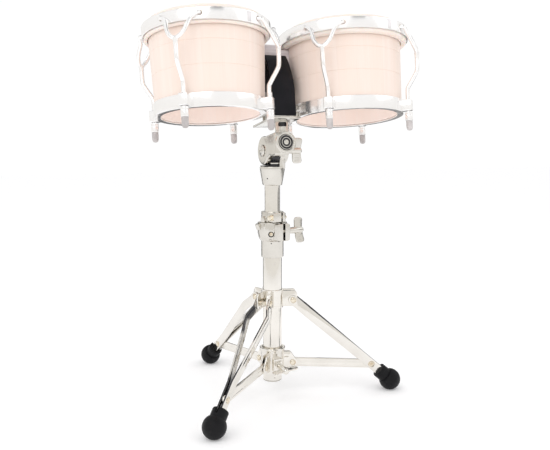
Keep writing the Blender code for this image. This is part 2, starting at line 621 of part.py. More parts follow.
def make_clamp():
    low, high = FLANGE_Z
    bracket = rod((JAW_X, NECK_Y, 0.0183), (JAW_X, NECK_Y, low + 0.001), NECK_R)
    as_part(bracket, "clamp_bracket", CHROME, tilt)
    flange = box((JAW_X - 0.0245, -0.0625, low), (JAW_X + 0.0245, 0.0250, high))
    lips = [box((JAW_X + x, -0.0600, low + 0.001), (JAW_X + x + 0.0024, -0.0300, 0.0545))
            for x in (-0.0244, 0.0220)]
    join(bracket, [flange] + lips, tilt)

    # front jaw: a steel plate that bends back as it rises, in a rubber jacket with a wedge
    steel = JAW_RUBBER
    top = JAW_TOP_Z - 0.0040
    front = side_plate(jaw_line(steel, high + GAP, top)
                       + jaw_line(steel + JAW_STEEL, high + GAP, top)[::-1],
                       JAW_WIDTH - 0.0020, JAW_X)
    as_part(front, "front_jaw_plate", CHROME, tilt)
    screw_hole = rod((JAW_X, -0.07, JAW_SCREW_Z), (JAW_X, -0.02, JAW_SCREW_Z), HOLE_R, SMALL)
    cut(front, [screw_hole], tilt)
    behind = steel + JAW_STEEL + GAP
    web_z = WEDGE_Z - 0.0060
    pad_outline = jaw_line(0.0, high + 0.0020, JAW_LINE[-1][1])
    pad_outline += [
        (GRIP_Y - 0.0080, JAW_TOP_Z), (GRIP_Y - 0.0020, JAW_TOP_Z), (GRIP_Y, JAW_TOP_Z - 0.0020),
        (GRIP_Y, WEDGE_Z), (JAW_FRONT_Y + behind + 0.0030, web_z),
    ]
    pad_outline += jaw_line(behind, web_z, top + GAP)
    pad_outline += jaw_line(steel - GAP, high + 0.0020, top + GAP)[::-1]
    pad = side_plate(pad_outline[::-1], JAW_WIDTH, JAW_X)
    as_part(pad, "front_jaw_pad", RUBBER, tilt)

    # rear jaw: the same the other way round, on a narrow tail that the screw passes through
    rear = GRIP_Y + GAP + TONGUE_THICK + GAP
    heel = 0.0180
    rear_pad = side_plate([
        (rear, 0.1130), (heel, 0.1130), (heel, 0.1160), (rear + 0.0050, JAW_TOP_Z - 0.0005),
        (rear + 0.0015, JAW_TOP_Z), (rear, JAW_TOP_Z - 0.0015)], JAW_WIDTH - 0.0020, JAW_X)
    as_part(rear_pad, "rear_jaw_pad", RUBBER, tilt)
    back = heel + GAP
    rear_plate = side_plate([
        (back, 0.1060), (back + JAW_STEEL, 0.1060), (back + JAW_STEEL, 0.1166),
        (rear + 0.0064 + JAW_STEEL, JAW_TOP_Z - 0.0020), (rear + 0.0064, JAW_TOP_Z - 0.0020),
        (back, 0.1160)], JAW_WIDTH - 0.0040, JAW_X)
    as_part(rear_plate, "rear_jaw_plate", CHROME, tilt)
    tail = box((JAW_X - 0.0080, back, high + 0.0006), (JAW_X + 0.0080, back + JAW_STEEL, 0.1100))
    barrel = rod((JAW_X, -0.0080, JAW_SCREW_Z), (JAW_X, back + 0.001, JAW_SCREW_Z), 0.0070, 16)
    join(rear_plate, [tail, barrel], tilt)
    rear_hole = rod((JAW_X, -0.02, JAW_SCREW_Z), (JAW_X, 0.04, JAW_SCREW_Z), HOLE_R, SMALL)
    cut(rear_plate, [rear_hole], tilt)

    stud = rod((JAW_X, JAW_FRONT_Y + steel, JAW_SCREW_Z), (JAW_X, 0.0355, JAW_SCREW_Z), BOLT_R,
               SMALL)
    as_part(stud, "jaw_screw", CHROME, tilt)
    spin = empty("jaw_wing_axis", (JAW_X, back + JAW_STEEL + GAP, JAW_SCREW_Z),
                 (-math.pi / 2.0, 0.0, 0.0), tilt)
    wing = wing_nut()
    wing.rotation_euler = (0.0, 0.0, math.radians(-38.0))
    as_part(wing, "jaw_wing_nut", CHROME, spin)


# ---------------------------------------------------------------- drums


def shell_radius(drum, height):
    """Outside of a drum's slightly flaring shell at a height above the drum's foot."""
    _, _, ring, top = DRUMS[drum]
    foot = ring - STEEL - GAP
    return foot + (top - foot) * (height - SHELL_FOOT) / (SHELL_TOP - SHELL_FOOT)


BLOCK_BOLT_YS = (-0.0130, 0.0110)
BLOCK_BOLT_Z = 0.1590


def make_drum(drum):
    x, band, ring, top = DRUMS[drum]
    frame = empty(f"{drum}_drum_frame", (x, DRUM_Y, DRUM_Z), (0, 0, 0), tilt)
    foot = shell_radius(drum, SHELL_FOOT)
    shell = turned([
        (top - 0.0030, SHELL_TOP), (top, SHELL_TOP - 0.0030), (foot, SHELL_FOOT),
        (foot - SHELL_WALL, SHELL_FOOT), (top - SHELL_WALL, SHELL_TOP)], ROUND)
    as_part(shell, f"{drum}_shell", PALE_WOOD, frame)
    for y in BLOCK_BOLT_YS:
        inward = -1.0 if drum == "right" else 1.0
        cut(shell, [rod((inward * 0.05, y - DRUM_Y, BLOCK_BOLT_Z - DRUM_Z),
                        (inward * 0.12, y - DRUM_Y, BLOCK_BOLT_Z - DRUM_Z), HOLE_R, SMALL)],
            frame)

    # the head: a stretched skin with its flesh hoop at the bottom of the collar
    lap = top + GAP
    skin = 0.0014
    hoop_r = (band - STEEL - top - 2.0 * GAP) / 2.0
    hoop = (lap + hoop_r, BAND_LOW - 0.0010)
    collar = arc(hoop, hoop_r, 118.0, -90.0, 4)
    head = turned(
        [(0.0, SHELL_TOP + GAP + skin), (top - 0.0035, SHELL_TOP + GAP + skin),
         (lap + skin, SHELL_TOP - 0.0030), (lap + skin, BAND_LOW + 0.0038)] + collar
        + [(lap, hoop[1] - hoop_r), (lap, SHELL_TOP - 0.0029),
           (top - 0.0029, SHELL_TOP + GAP), (0.0, SHELL_TOP + GAP)], ROUND)
    as_part(head, f"{drum}_head", RAWHIDE, frame)

    # the tuning band, with a lip that bears on the flesh hoop and a hole for each fork tip
    lip = lap + skin + 2.0 * GAP
    rim = turned([
        (band, BAND_LOW + BAND_TALL), (band, BAND_LOW), (band - STEEL, BAND_LOW),
        (band - STEEL, BAND_LOW + 0.0045), (lip, BAND_LOW + 0.0045), (lip, BAND_LOW + 0.0064),
        (band - STEEL, BAND_LOW + 0.0064), (band - STEEL, BAND_LOW + BAND_TALL)], ROUND)
    as_part(rim, f"{drum}_tuning_band", WHITE_CHROME, frame)

    # the bottom ring follows the shell and carries a block under each lug
    base = turned([
        (shell_radius(drum, RING_TALL) + GAP + STEEL, RING_TALL), (ring, 0.0),
        (ring - 0.0100, 0.0), (ring - 0.0100, STEEL),
        (shell_radius(drum, STEEL) + GAP, STEEL),
        (shell_radius(drum, RING_TALL) + GAP, RING_TALL)], ROUND)
    as_part(base, f"{drum}_bottom_ring", WHITE_CHROME, frame)

    lug_mesh = make_lug(ring + LUG_OUT, band)
    angles = [angle + LUG_TURN[drum] for angle in LUG_ANGLES]
    for number, angle in enumerate(angles, 1):
        place = empty(f"{drum}_lug_{number}_frame", (0, 0, 0), (0, 0, math.radians(angle)), frame)
        block = box((ring - 0.0010, -0.0070, 0.0008), (ring + 0.0160, 0.0070, 0.0190))
        join(base, [block], place)
        for way in (1.0, -1.0):
            turn = way * TIP_ARC / band
            out = Vector((math.cos(turn), math.sin(turn), 0.0))
            hole = rod(out * (band - 0.0060) + Vector((0, 0, TIP_Z)),
                       out * (band + 0.0060) + Vector((0, 0, TIP_Z)), LUG_HOLE_R, SMALL)
            cut(rim, [hole], place)
        lug = bpy.data.objects.new("lug", lug_mesh if number == 1 else lug_mesh.copy())
        as_part(lug, f"{drum}_tuning_lug_{number}", WHITE_CHROME, place)
    for angle in angles:
        out, _ = heading(angle)
        spot = out * (ring + LUG_OUT)
        cut(base, [rod((spot.x, spot.y, -0.01), (spot.x, spot.y, 0.03), LUG_HOLE_R, SMALL)], frame)


def make_lug(out, band):
    """A fork that holds the band at two points, its rod, and the nut with its rubber tip."""
    bulge = out + LUG_BULGE
    root = 0.0930

    def on_drum(radius, along, height):
        turn = along / band
        return (radius * math.cos(turn), radius * math.sin(turn), height)

    arm = [(bulge + 0.0010, 0.0060, root + 0.0028), (bulge - 0.0010, 0.0115, root + 0.0105),
           (bulge - 0.0045, 0.0150, root + 0.0200), (band + 0.0060, 0.0185, root + 0.0285),
           (band + 0.0048, 0.0235, TIP_Z - 0.0030), (band + 0.0042, 0.0285, TIP_Z - 0.0002),
           (band - 0.0008, TIP_ARC, TIP_Z)]
    line = [on_drum(r, -along, z) for r, along, z in arm[::-1]]
    line += [(bulge + 0.0010, 0.0, root)]
    line += [on_drum(r, along, z) for r, along, z in arm]
    fork = pipe(line, LUG_ROD_R * 0.92, 1)
    shank = pipe([(out, 0, -0.0120), (out, 0, 0.0340), (out + 0.0025, 0, 0.0400),
                  (bulge - 0.0025, 0, 0.0600), (bulge, 0, 0.0670), (bulge + 0.0008, 0, root)],
                 LUG_ROD_R, 1)
    nut = turned([
        (0.0, -0.0010), (0.0060, -0.0010), (0.0060, -0.0150), (0.0052, -0.0155),
        (0.0050, -0.0280), (0.0030, -0.0305), (0.0, -0.0310)], SMALL)
    nut.location = (out, 0.0, 0.0)
    as_part(fork, "fork", WHITE_CHROME, None)
    join(fork, [shank, nut], None)
    parts.objects.unlink(fork)
    whole = frozen(fork)
    for piece in (shank, nut):
        bpy.data.objects.remove(piece)
    data = whole.data
    bpy.data.objects.remove(whole)
    return data


def make_centre_block():
    """The block between the shells: a flat face in front, and a tongue that the jaws pinch."""
    tongue = (GRIP_Y + GAP, GRIP_Y + GAP + TONGUE_THICK)
    shelf = JAW_TOP_Z + 0.0028
    block = side_plate([
        (tongue[0], 0.0960), (tongue[1], 0.0960), (tongue[1], shelf), (0.0200, shelf),
        (0.0200, 0.1700), (tongue[0], 0.1700)], 0.0900, 0.0040)
    as_part(block, "centre_block", BLOCK_WOOD, tilt)
    for drum, (x, band, _, _) in DRUMS.items():
        low, high = 0.0400, SHELL_TOP + 0.02
        inset = GAP * 2.0
        cone = rod((x, DRUM_Y, DRUM_Z + low), (x, DRUM_Y, DRUM_Z + high),
                   shell_radius(drum, low) + inset, ROUND, shell_radius(drum, high) + inset)
        upper = rod((x, DRUM_Y, DRUM_Z + BAND_LOW - 0.0075), (x, DRUM_Y, DRUM_Z + high),
                    band + 0.0012, ROUND)
        cut(block, [cone, upper], tilt)
    for number, y in enumerate(BLOCK_BOLT_YS, 1):
        ends = []
        for drum, way in (("left", 1.0), ("right", -1.0)):
            inside = shell_radius(drum, BLOCK_BOLT_Z - DRUM_Z) - SHELL_WALL
            reach = math.sqrt(inside ** 2 - (y - DRUM_Y + 0.0065) ** 2)
            ends.append(DRUMS[drum][0] + way * (reach - 0.0008))
        shank = rod((ends[0] - 0.002, y, BLOCK_BOLT_Z), (ends[1] + 0.002, y, BLOCK_BOLT_Z),
                    BOLT_R, SMALL)
        as_part(shank, f"block_bolt_{number}", CHROME, tilt)
        heads = [rod((e + s * 0.0050, y, BLOCK_BOLT_Z), (e, y, BLOCK_BOLT_Z), 0.0065, 6)
                 for e, s in zip(ends, (-1.0, 1.0))]
        join(shank, heads, tilt)
        cut(block, [rod((-0.06, y, BLOCK_BOLT_Z), (0.07, y, BLOCK_BOLT_Z), HOLE_R, SMALL)], tilt)


make_lower_column()
make_hub_and_collar()
make_legs()
make_braces()
make_height_clamp()
make_mast()
make_cup()
make_tilter_arm()
make_clamp()
for drum_name in DRUMS:
    make_drum(drum_name)
make_centre_block()
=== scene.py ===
"""Looks for the bongo drums on their folding tripod stand.

Every piece is built in the frame's own metres, in place, and rides on its CAD body.
"""

import json
import math
import random

import bmesh
import bpy
from mathutils import Matrix, Vector


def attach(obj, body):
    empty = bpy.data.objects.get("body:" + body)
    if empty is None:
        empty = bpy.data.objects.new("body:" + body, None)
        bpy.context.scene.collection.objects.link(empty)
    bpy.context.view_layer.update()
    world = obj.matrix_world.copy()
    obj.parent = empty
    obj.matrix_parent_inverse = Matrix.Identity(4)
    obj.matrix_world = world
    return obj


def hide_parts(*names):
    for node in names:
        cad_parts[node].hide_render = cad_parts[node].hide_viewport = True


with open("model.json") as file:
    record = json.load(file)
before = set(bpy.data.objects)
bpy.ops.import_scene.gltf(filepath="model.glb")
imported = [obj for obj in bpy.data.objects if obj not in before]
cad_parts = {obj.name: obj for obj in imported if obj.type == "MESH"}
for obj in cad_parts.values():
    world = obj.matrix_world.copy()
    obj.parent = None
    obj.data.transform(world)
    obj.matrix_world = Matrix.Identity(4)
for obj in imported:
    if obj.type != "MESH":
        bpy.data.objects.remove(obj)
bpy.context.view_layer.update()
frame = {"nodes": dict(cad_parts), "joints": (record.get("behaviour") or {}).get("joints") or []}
nodes = frame["nodes"]
joints = {joint["name"]: joint for joint in frame["joints"]}

# ---- places from the frame

AXIS = Vector(joints["mast_swivel"]["pos_m"]).xy
LEAN_AXIS = joints["rear_jaw_slide"]["axis"]
LEAN = math.atan2(-LEAN_AXIS[2], LEAN_AXIS[1])
STAND = Matrix.Translation((AXIS.x, AXIS.y, 0))
TILT = Matrix.Translation(joints["tilt"]["pos_m"]) @ Matrix.Rotation(-LEAN, 4, "X")
TILT_Z = joints["tilt"]["pos_m"][2]
WING_AXIS = joints["slider_wing_turn"]["axis"]
WING_AZIMUTH = math.degrees(math.atan2(WING_AXIS[1], WING_AXIS[0]))
WING_Z = joints["slider_wing_turn"]["pos_m"][2]


def turn(degrees, axis="Z"):
    return Matrix.Rotation(math.radians(degrees), 4, axis)


def move(x, y, z):
    return Matrix.Translation((x, y, z))


def around(azimuth, x=0, y=0, z=0):
    """A place by the stand, with +X pointing away from its axis."""
    return STAND @ turn(azimuth) @ move(x, y, z)


def outward(azimuth, distance, height):
    """A place by the stand, with +Z pointing away from its axis."""
    return around(azimuth, distance, 0, height) @ ALONG_X


SIDE = turn(90) @ turn(90, "X")  # outline x, y and thickness become Y, Z and X
UPRIGHT = turn(90, "X")  # outline x, y and thickness become X, Z and -Y
ALONG_X = turn(90, "Y")  # a turned piece's Z becomes X
ALONG_Y = turn(-90, "X")  # a turned piece's Z becomes Y

# ---- dimensions, in metres

LOWER_R, UPPER_R, WALL = 0.015875, 0.0127, 0.0015
BORE_R = 0.0162  # of the pieces round the lower tube
BOLT_R, BOLT_HOLE_R = 0.003, 0.0034
EAR_THICK, SKIN = 0.0026, 0.0014
STAVE_WIDTH = 0.0262
EASED, CAST_ANGLE = 32, 75  # degrees; sharper edges than this are shown sharp
LEGS = {"right": -16.1, "back": 103.9, "front": 223.9}
# painted shade and dark reflection on each leg's straps, on the sides that face each other and
# along the top edge
STRAP_SHADE = {  # inner side and top edge: all over, patches from
    "right": ((1, 0.5), (0.3, 0.5)),
    "back": ((0.12, 0.6), (0.2, 0.55)),
    "front": ((0.3, 0.5), (0.15, 0.5)),
}
HUB = (0.034, 0.1637)
COLLAR = (0.0343, 0.0541)
FOOT = (0.2051, 0.0173)
BRACE_PIVOT_U = 0.1807
LEG_LENGTH = math.hypot(FOOT[0] - HUB[0], HUB[1] - FOOT[1])
LEG_SLOPE = math.degrees(math.atan2(HUB[1] - FOOT[1], FOOT[0] - HUB[0]))
CLAMP_AZIMUTH, SOCKET_AZIMUTH, TAB_AZIMUTH = 285, 243, 202
CLAMP_LOW, CLAMP_HIGH, CLAMP_R = 0.2634, 0.295, 0.0245
MEMORY_LOW, MEMORY_HIGH = 0.2953, 0.3126
JAW_X, NECK_Y, JAW_SCREW_Z = 0.002, -0.039, 0.075
BOSS_Y, BOSS_Z, BOSS_R = (-0.0585, -0.0245), 0.0056, 0.0175
DISC_X, DISC_R = (-0.0175, -0.0085), 0.0238
DRUM_Y, DRUM_Z = -0.031, 0.049
BAND_LOW, BAND_TALL, STEEL = 0.1209, 0.0175, 0.0022
SHELL_WALL, SHELL_FOOT, SHELL_TOP = 0.008, 0.0027, BAND_LOW + 0.024
RING_TALL, LUG_OUT, LUG_BULGE, LUG_R = 0.0205, 0.01, 0.0175, 0.0034
TIP_ARC, TIP_Z = 0.0305, BAND_LOW + 0.0091
BLOCK_BOLT_YS, BLOCK_BOLT_Z = (-0.013, 0.011), 0.159
GAP = 0.0003
LUG_ANGLES = {  # the tuning rods round each drum, degrees
    "left": (50.5, 140.5, 230.5, 320.5),
    "right": (47, 137, 227, 317),
}
DRUMS = {  # x, band radius, bottom ring radius, shell's top
    "left": (-0.1118, 0.0996, 0.0866, 0.091),
    "right": (0.1248, 0.1078, 0.0937, 0.0955),
}

# ---- mesh helpers


def add(name, data):
    made = bpy.data.objects.new(name, data)
    bpy.context.scene.collection.objects.link(made)
    return made


def smooth(data, angle):
    data.shade_smooth()
    data.set_sharp_from_angle(angle=math.radians(angle))


def evaluated(made):
    bpy.context.view_layer.update()
    return bpy.data.meshes.new_from_object(
        made.evaluated_get(bpy.context.evaluated_depsgraph_get()))


def keep(name, shape, place, angle=EASED):
    """A bmesh becomes an object whose mesh is already in place."""
    bmesh.ops.recalc_face_normals(shape, faces=shape.faces)
    data = bpy.data.meshes.new(name)
    shape.to_mesh(data)
    shape.free()
    data.transform(place)
    smooth(data, angle)
    return add(name, data)


def rounded(points, radius, steps=3, closed=True):
    """The outline with each corner turned into a short curve."""
    total = len(points)
    outline = []
    for i, point in enumerate(points):
        corner = Vector(point)
        if not closed and i in (0, total - 1):
            outline.append(tuple(corner))
            continue
        before = Vector(points[i - 1]) - corner
        after = Vector(points[(i + 1) % total]) - corner
        start = corner + before.normalized() * min(radius, before.length * 0.45)
        end = corner + after.normalized() * min(radius, after.length * 0.45)
        for step in range(steps + 1):
            t = step / steps
            outline.append(tuple(start * (1 - t) ** 2 + corner * 2 * t * (1 - t) + end * t ** 2))
    return outline


def lathe(name, profile, place, steps=96, angle=EASED):
    """A profile of (radius, height) points turned about Z, with its surface unrolled in metres."""
    shape = bmesh.new()
    layer = shape.loops.layers.uv.new("UVMap")
    on_axis = profile[0][0] < 1e-7 and profile[-1][0] < 1e-7
    spans = list(zip(profile, profile[1:] + ([] if on_axis else profile[:1])))
    widest = max(radius for radius, _ in profile)
    rings = {}
    for radius, height in profile:
        count = 1 if radius < 1e-7 else steps
        rings[(radius, height)] = [
            shape.verts.new((radius * math.cos(math.tau * i / steps),
                             radius * math.sin(math.tau * i / steps), height))
            for i in range(count)
        ]
    run = 0
    for first, second in spans:
        upper, lower = rings[first], rings[second]
        length = math.dist(first, second)
        for i in range(steps):
            j = (i + 1) % steps
            corners = ((upper, i, i, 0), (upper, j, i + 1, 0), (lower, j, i + 1, 1),
                       (lower, i, i, 1))
            seen = []
            for ring, k, u, v in corners:
                vert = ring[k % len(ring)]
                if vert not in [s[0] for s in seen]:
                    seen.append((vert, u, v))
            if len(seen) < 3:
                continue
            face = shape.faces.new([s[0] for s in seen])
            for loop, (_, u, v) in zip(face.loops, seen):
                loop[layer].uv = (u / steps * math.tau * widest, run + v * length)
        run += length
    return keep(name, shape, place, angle)


def slab(name, outline, thickness, place, bevel=0.0004, segments=2):
    """A flat outline with a thickness and rounded edges."""
    shape = bmesh.new()
    verts = [shape.verts.new((x, y, -thickness / 2)) for x, y in outline]
    face = shape.faces.new(verts)
    grown = bmesh.ops.extrude_face_region(shape, geom=[face])
    lifted = [g for g in grown["geom"] if isinstance(g, bmesh.types.BMVert)]
    bmesh.ops.translate(shape, vec=(0, 0, thickness), verts=lifted)
    bmesh.ops.recalc_face_normals(shape, faces=shape.faces)
    sharp = [e for e in shape.edges if e.calc_face_angle(0) > math.radians(35)]
    if bevel:
        bmesh.ops.bevel(shape, geom=sharp, offset=bevel, segments=segments, profile=0.5,
                        affect="EDGES", clamp_overlap=True)
    return keep(name, shape, place)


def block(name, low, high, place, bevel=0.0006, segments=2):
    low, high = Vector(low), Vector(high)
    outline = [(low.x, low.y), (high.x, low.y), (high.x, high.y), (low.x, high.y)]
    middle = place @ move(0, 0, (low.z + high.z) / 2)
    return slab(name, outline, high.z - low.z, middle, bevel, segments)


def rod(name, start, end, radius, place, bevel=0.0003, steps=48):
    """A round bar between two points, with softened ends."""
    start, end = Vector(start), Vector(end)
    length = (end - start).length
    profile = rounded([(0, length), (radius, length), (radius, 0), (0, 0)], bevel, 2, closed=False)
    aim = Vector((0, 0, 1)).rotation_difference((end - start).normalized()).to_matrix().to_4x4()
    return lathe(name, profile, place @ Matrix.Translation(start) @ aim, steps)


def smoothed(points, steps=5):
    """A smooth run through the points."""
    points = [Vector(p) for p in points]
    padded = [points[0] * 2 - points[1]] + points + [points[-1] * 2 - points[-2]]
    line = []
    for a, b, c, d in zip(padded, padded[1:], padded[2:], padded[3:]):
        for step in range(steps):
            t = step / steps
            line.append(0.5 * (2 * b + (c - a) * t + (2 * a - 5 * b + 4 * c - d) * t * t
                               + (3 * b - a - 3 * c + d) * t ** 3))
    return line + [points[-1]]


def pipe(name, points, radius, place, radii):
    """A round bar along the points, thinner or fatter where radii says so."""
    curve = bpy.data.curves.new(name, "CURVE")
    curve.dimensions = "3D"
    curve.bevel_depth = radius
    curve.bevel_resolution = 5
    curve.use_fill_caps = True
    spline = curve.splines.new("POLY")
    spline.points.add(len(points) - 1)
    for i, (point, spot) in enumerate(zip(spline.points, points)):
        point.co = (*spot, 1)
        point.radius = radii(i / (len(points) - 1))
    loose = add(name, curve)
    data = evaluated(loose)
    bpy.data.objects.remove(loose)
    shape = bmesh.new()
    shape.from_mesh(data)
    bmesh.ops.remove_doubles(shape, verts=shape.verts, dist=0.000001)
    return keep(name, shape, place, 50)


def settle(made, angle=EASED):
    """Turn the modifiers into the mesh."""
    data = evaluated(made)
    made.modifiers.clear()
    made.data = data
    smooth(data, angle)


def combine(made, operation, helpers):
    for helper in helpers:
        step = made.modifiers.new("combine", "BOOLEAN")
        step.operation = operation
        step.object = helper
        step.solver = "EXACT"
    settle(made)
    for helper in helpers:
        bpy.data.objects.remove(helper)


def join(made, *helpers):
    combine(made, "UNION", helpers)


def cut(made, *helpers):
    combine(made, "DIFFERENCE", helpers)


def cast(made):
    """Melt a built-up shape into one casting with soft inner and outer corners."""
    melt = made.modifiers.new("melt", "REMESH")
    melt.mode = "VOXEL"
    melt.voxel_size = 0.0005
    melt.use_smooth_shade = True
    soft = made.modifiers.new("soft", "SMOOTH")
    soft.factor = 0.5
    soft.iterations = 14
    settle(made, CAST_ANGLE)


def arc(centre, radius, start, end, steps):
    turns = [math.radians(start + (end - start) * i / steps) for i in range(steps + 1)]
    return [(centre[0] + radius * math.cos(a), centre[1] + radius * math.sin(a)) for a in turns]


# ---- materials


class Nodes:
    """A node tree and short ways to add to it."""

    def __init__(self, tree):
        self.tree = tree

    def feed(self, slot, value):
        if isinstance(value, bpy.types.NodeSocket):
            self.tree.links.new(value, slot)
        else:
            slot.default_value = value

    def node(self, kind, feeds=(), **settings):
        """A new node with its settings, then what goes into its inputs."""
        made = self.tree.nodes.new(f"ShaderNode{kind}")
        for key, value in settings.items():
            setattr(made, key, value)
        for key, value in dict(feeds).items():
            self.feed(made.inputs[key], value)
        return made

    def place(self, scale, source="Object"):
        scale = scale if isinstance(scale, tuple) else (scale,) * 3
        spot = self.node("TexCoord").outputs[source]
        return self.node("Mapping", {"Vector": spot, "Scale": scale}).outputs["Vector"]

    def noise(self, scale, detail=4, rough=0.55, source="Object"):
        return self.node("TexNoise", {"Vector": self.place(scale, source), "Scale": 1,
                                      "Detail": detail, "Roughness": rough}).outputs["Fac"]

    def span(self, value, low, high, out_low=0, out_high=1):
        return self.node("MapRange", {"Value": value, "From Min": low, "From Max": high,
                                      "To Min": out_low, "To Max": out_high}).outputs["Result"]

    def maths(self, operation, first, second=0.5):
        return self.node("Math", {0: first, 1: second}, operation=operation).outputs["Value"]

    def mix(self, factor, first, second):
        made = self.node("Mix", data_type="RGBA")
        slots = [s for s in made.inputs
                 if s.type == "RGBA" or s.name == "Factor" and s.type == "VALUE"]
        for slot, value in zip(slots, (factor, first, second)):
            self.feed(slot, (*value, 1) if isinstance(value, tuple) else value)
        return [s for s in made.outputs if s.type == "RGBA"][0]


class Shader(Nodes):
    """A Principled material."""

    def __init__(self, name, colour, roughness, metallic=0, **constants):
        self.material = bpy.data.materials.new(name)
        self.material.use_nodes = True
        super().__init__(self.material.node_tree)
        self.inputs = self.tree.nodes["Principled BSDF"].inputs
        self.colour((*colour, 1))
        self.roughness(roughness)
        self.feed(self.inputs["Metallic"], metallic)
        for key, value in constants.items():
            self.feed(self.inputs[key.replace("_", " ")], value)

    def colour(self, value):
        self.feed(self.inputs["Base Color"], value)

    def roughness(self, value):
        self.feed(self.inputs["Roughness"], value)

    def bump(self, value, distance, strength=1):
        made = self.node("Bump", {"Height": value, "Distance": distance, "Strength": strength})
        self.feed(self.inputs["Normal"], made.outputs["Normal"])


def make_chrome(name, tint, shade, low, high, metal=1, shaded=()):
    """Plated metal: cloudy polish, faint handling marks and a slight ripple.

    Each shaded side gets painted shade and dark reflection: its direction, how dark it is all over,
    and where its patches start.
    """
    made = Shader(name, tint, low, metal)
    cloud = made.noise(22, 3)
    tone = made.mix(made.span(cloud, 0.35, 0.7), tint, shade)
    # painted shade and dark reflection: faces turned towards the side go near black, all over or in
    # patches
    for side, base, start in shaded:
        normal = made.node("TexCoord").outputs["Normal"]
        facing = made.node("VectorMath", {0: normal, 1: side}, operation="DOT_PRODUCT")
        gap = made.span(facing.outputs["Value"], 0.65, 0.9)
        depth = made.span(made.noise(24, 1), start, start + 0.07, base, 1)
        tone = made.mix(made.maths("MULTIPLY", gap, depth), tone, (0.05, 0.05, 0.055))
    made.colour(tone)
    fine = made.noise((260, 260, 90), 5, 0.7)
    haze = made.maths("MULTIPLY", made.span(cloud, 0.3, 0.7, 0.55, 1), fine)
    made.roughness(made.span(haze, 0.15, 0.6, low, high))
    made.bump(made.noise((55, 55, 35), 2), 0.00002)
    return made.material


def make_brass():
    made = Shader("brass", (0.8, 0.62, 0.33), 0.2, 1)
    tarnish = made.span(made.noise(140, 4), 0.42, 0.68)
    made.colour(made.mix(tarnish, (0.86, 0.8, 0.68), (0.64, 0.53, 0.38)))
    made.roughness(made.span(tarnish, 0, 1, 0.16, 0.38))
    return made.material


def make_rubber(name, colour, sheen, grain=900):
    """Moulded rubber: a fine stipple, dusty high spots and soft shine."""
    made = Shader(name, colour, 0.6, 0, Specular_IOR_Level=0.22)
    dust = made.span(made.noise(45, 5, 0.65), 0.45, 0.75)
    pale = tuple(c * 1.5 + 0.003 for c in colour)
    made.colour(made.mix(dust, colour, pale))
    made.roughness(made.span(dust, 0, 1, sheen, sheen + 0.2))
    stipple = made.node("TexVoronoi", {"Vector": made.place(grain), "Scale": 1})
    made.bump(stipple.outputs["Distance"], 0.00012)
    return made.material


def make_wood(name, pale, deep, inside=False):
    """Pale staves standing upright: each a shade apart, with fine straight grain."""
    # the inside copy glows a little: painted light on the shaded inside of the shell
    made = Shader(name, pale, 0.42, 0, Coat_Weight=0.15, Coat_Roughness=0.25,
                  Emission_Color=(*deep, 1), Emission_Strength=0.11 if inside else 0)
    parts = made.node("SeparateXYZ", {"Vector": made.node("TexCoord").outputs["UV"]})
    count = made.maths("DIVIDE", parts.outputs["X"], STAVE_WIDTH)
    stave = made.node("TexWhiteNoise", {"W": made.maths("FLOOR", count)}, noise_dimensions="1D")
    grain = made.noise((620, 9, 1), 6, 0.62, "UV")
    band = made.noise((75, 5, 1), 3, 0.5, "UV")
    pores = made.noise((1500, 60, 1), 3, 0.7, "UV")
    streak = made.maths("ADD", made.maths("MULTIPLY", grain), made.maths("MULTIPLY", band))
    tone = made.mix(made.span(streak, 0.36, 0.66), pale, deep)
    darker = tuple(c * k for c, k in zip(deep, (0.97, 0.93, 0.89)))
    tone = made.mix(made.span(stave.outputs["Value"], 0, 1, 0, 0.35), tone, darker)
    speck = made.span(pores, 0.64, 0.74, 0, 0.35)
    tone = made.mix(speck, tone, tuple(c * 0.78 for c in deep))
    edge = made.maths("ABSOLUTE", made.maths("SUBTRACT", made.maths("FRACT", count)))
    seam = made.span(edge, 0.488, 0.4995)
    worn = made.span(made.noise((60, 22, 1), 2, 0.5, "UV"), 0.45, 0.65, 0, 0.22)
    tone = made.mix(made.maths("MULTIPLY", seam, worn), tone, tuple(c * 0.72 for c in deep))
    made.colour(tone)
    made.roughness(made.span(grain, 0.3, 0.7, 0.36, 0.52))
    made.bump(grain, 0.00006, 0.7 if inside else 0.5)
    return made.material


def make_block_wood():
    made = Shader("block_wood", (0.72, 0.67, 0.68), 0.45)
    grain = made.noise((22, 420, 420), 5, 0.6)
    made.colour(made.mix(made.span(grain, 0.35, 0.65), (0.8, 0.75, 0.755), (0.66, 0.6, 0.62)))
    made.roughness(made.span(grain, 0.3, 0.7, 0.38, 0.55))
    made.bump(grain, 0.00005)
    return made.material


def make_rawhide():
    """Stretched skin: mottled cream with veins, a little light through it."""
    made = Shader("rawhide", (0.95, 0.86, 0.79), 0.5, 0, Subsurface_Weight=0.12,
                  Subsurface_Scale=0.004)
    cloud = made.span(made.noise(28, 5, 0.6), 0.35, 0.7)
    tone = made.mix(cloud, (0.965, 0.885, 0.82), (0.93, 0.8, 0.72))
    veins = made.node("TexVoronoi", {"Vector": made.place(38), "Scale": 1},
                      feature="DISTANCE_TO_EDGE")
    fine = made.span(veins.outputs["Distance"], 0, 0.05, 0.25, 0)
    made.colour(made.mix(fine, tone, (0.88, 0.74, 0.66)))
    fibres = made.noise(420, 5, 0.6)
    made.roughness(made.span(fibres, 0.3, 0.7, 0.42, 0.62))
    made.bump(fibres, 0.00008)
    return made.material


def make_plain(name, colour, roughness):
    made = Shader(name, colour, roughness)
    spread = made.noise(300, 4)
    made.colour(made.mix(spread, tuple(c * 0.85 for c in colour), tuple(c * 1.15 for c in colour)))
    made.roughness(made.span(spread, 0.3, 0.7, roughness - 0.08, roughness + 0.1))
    made.bump(spread, 0.00004)
    return made.material


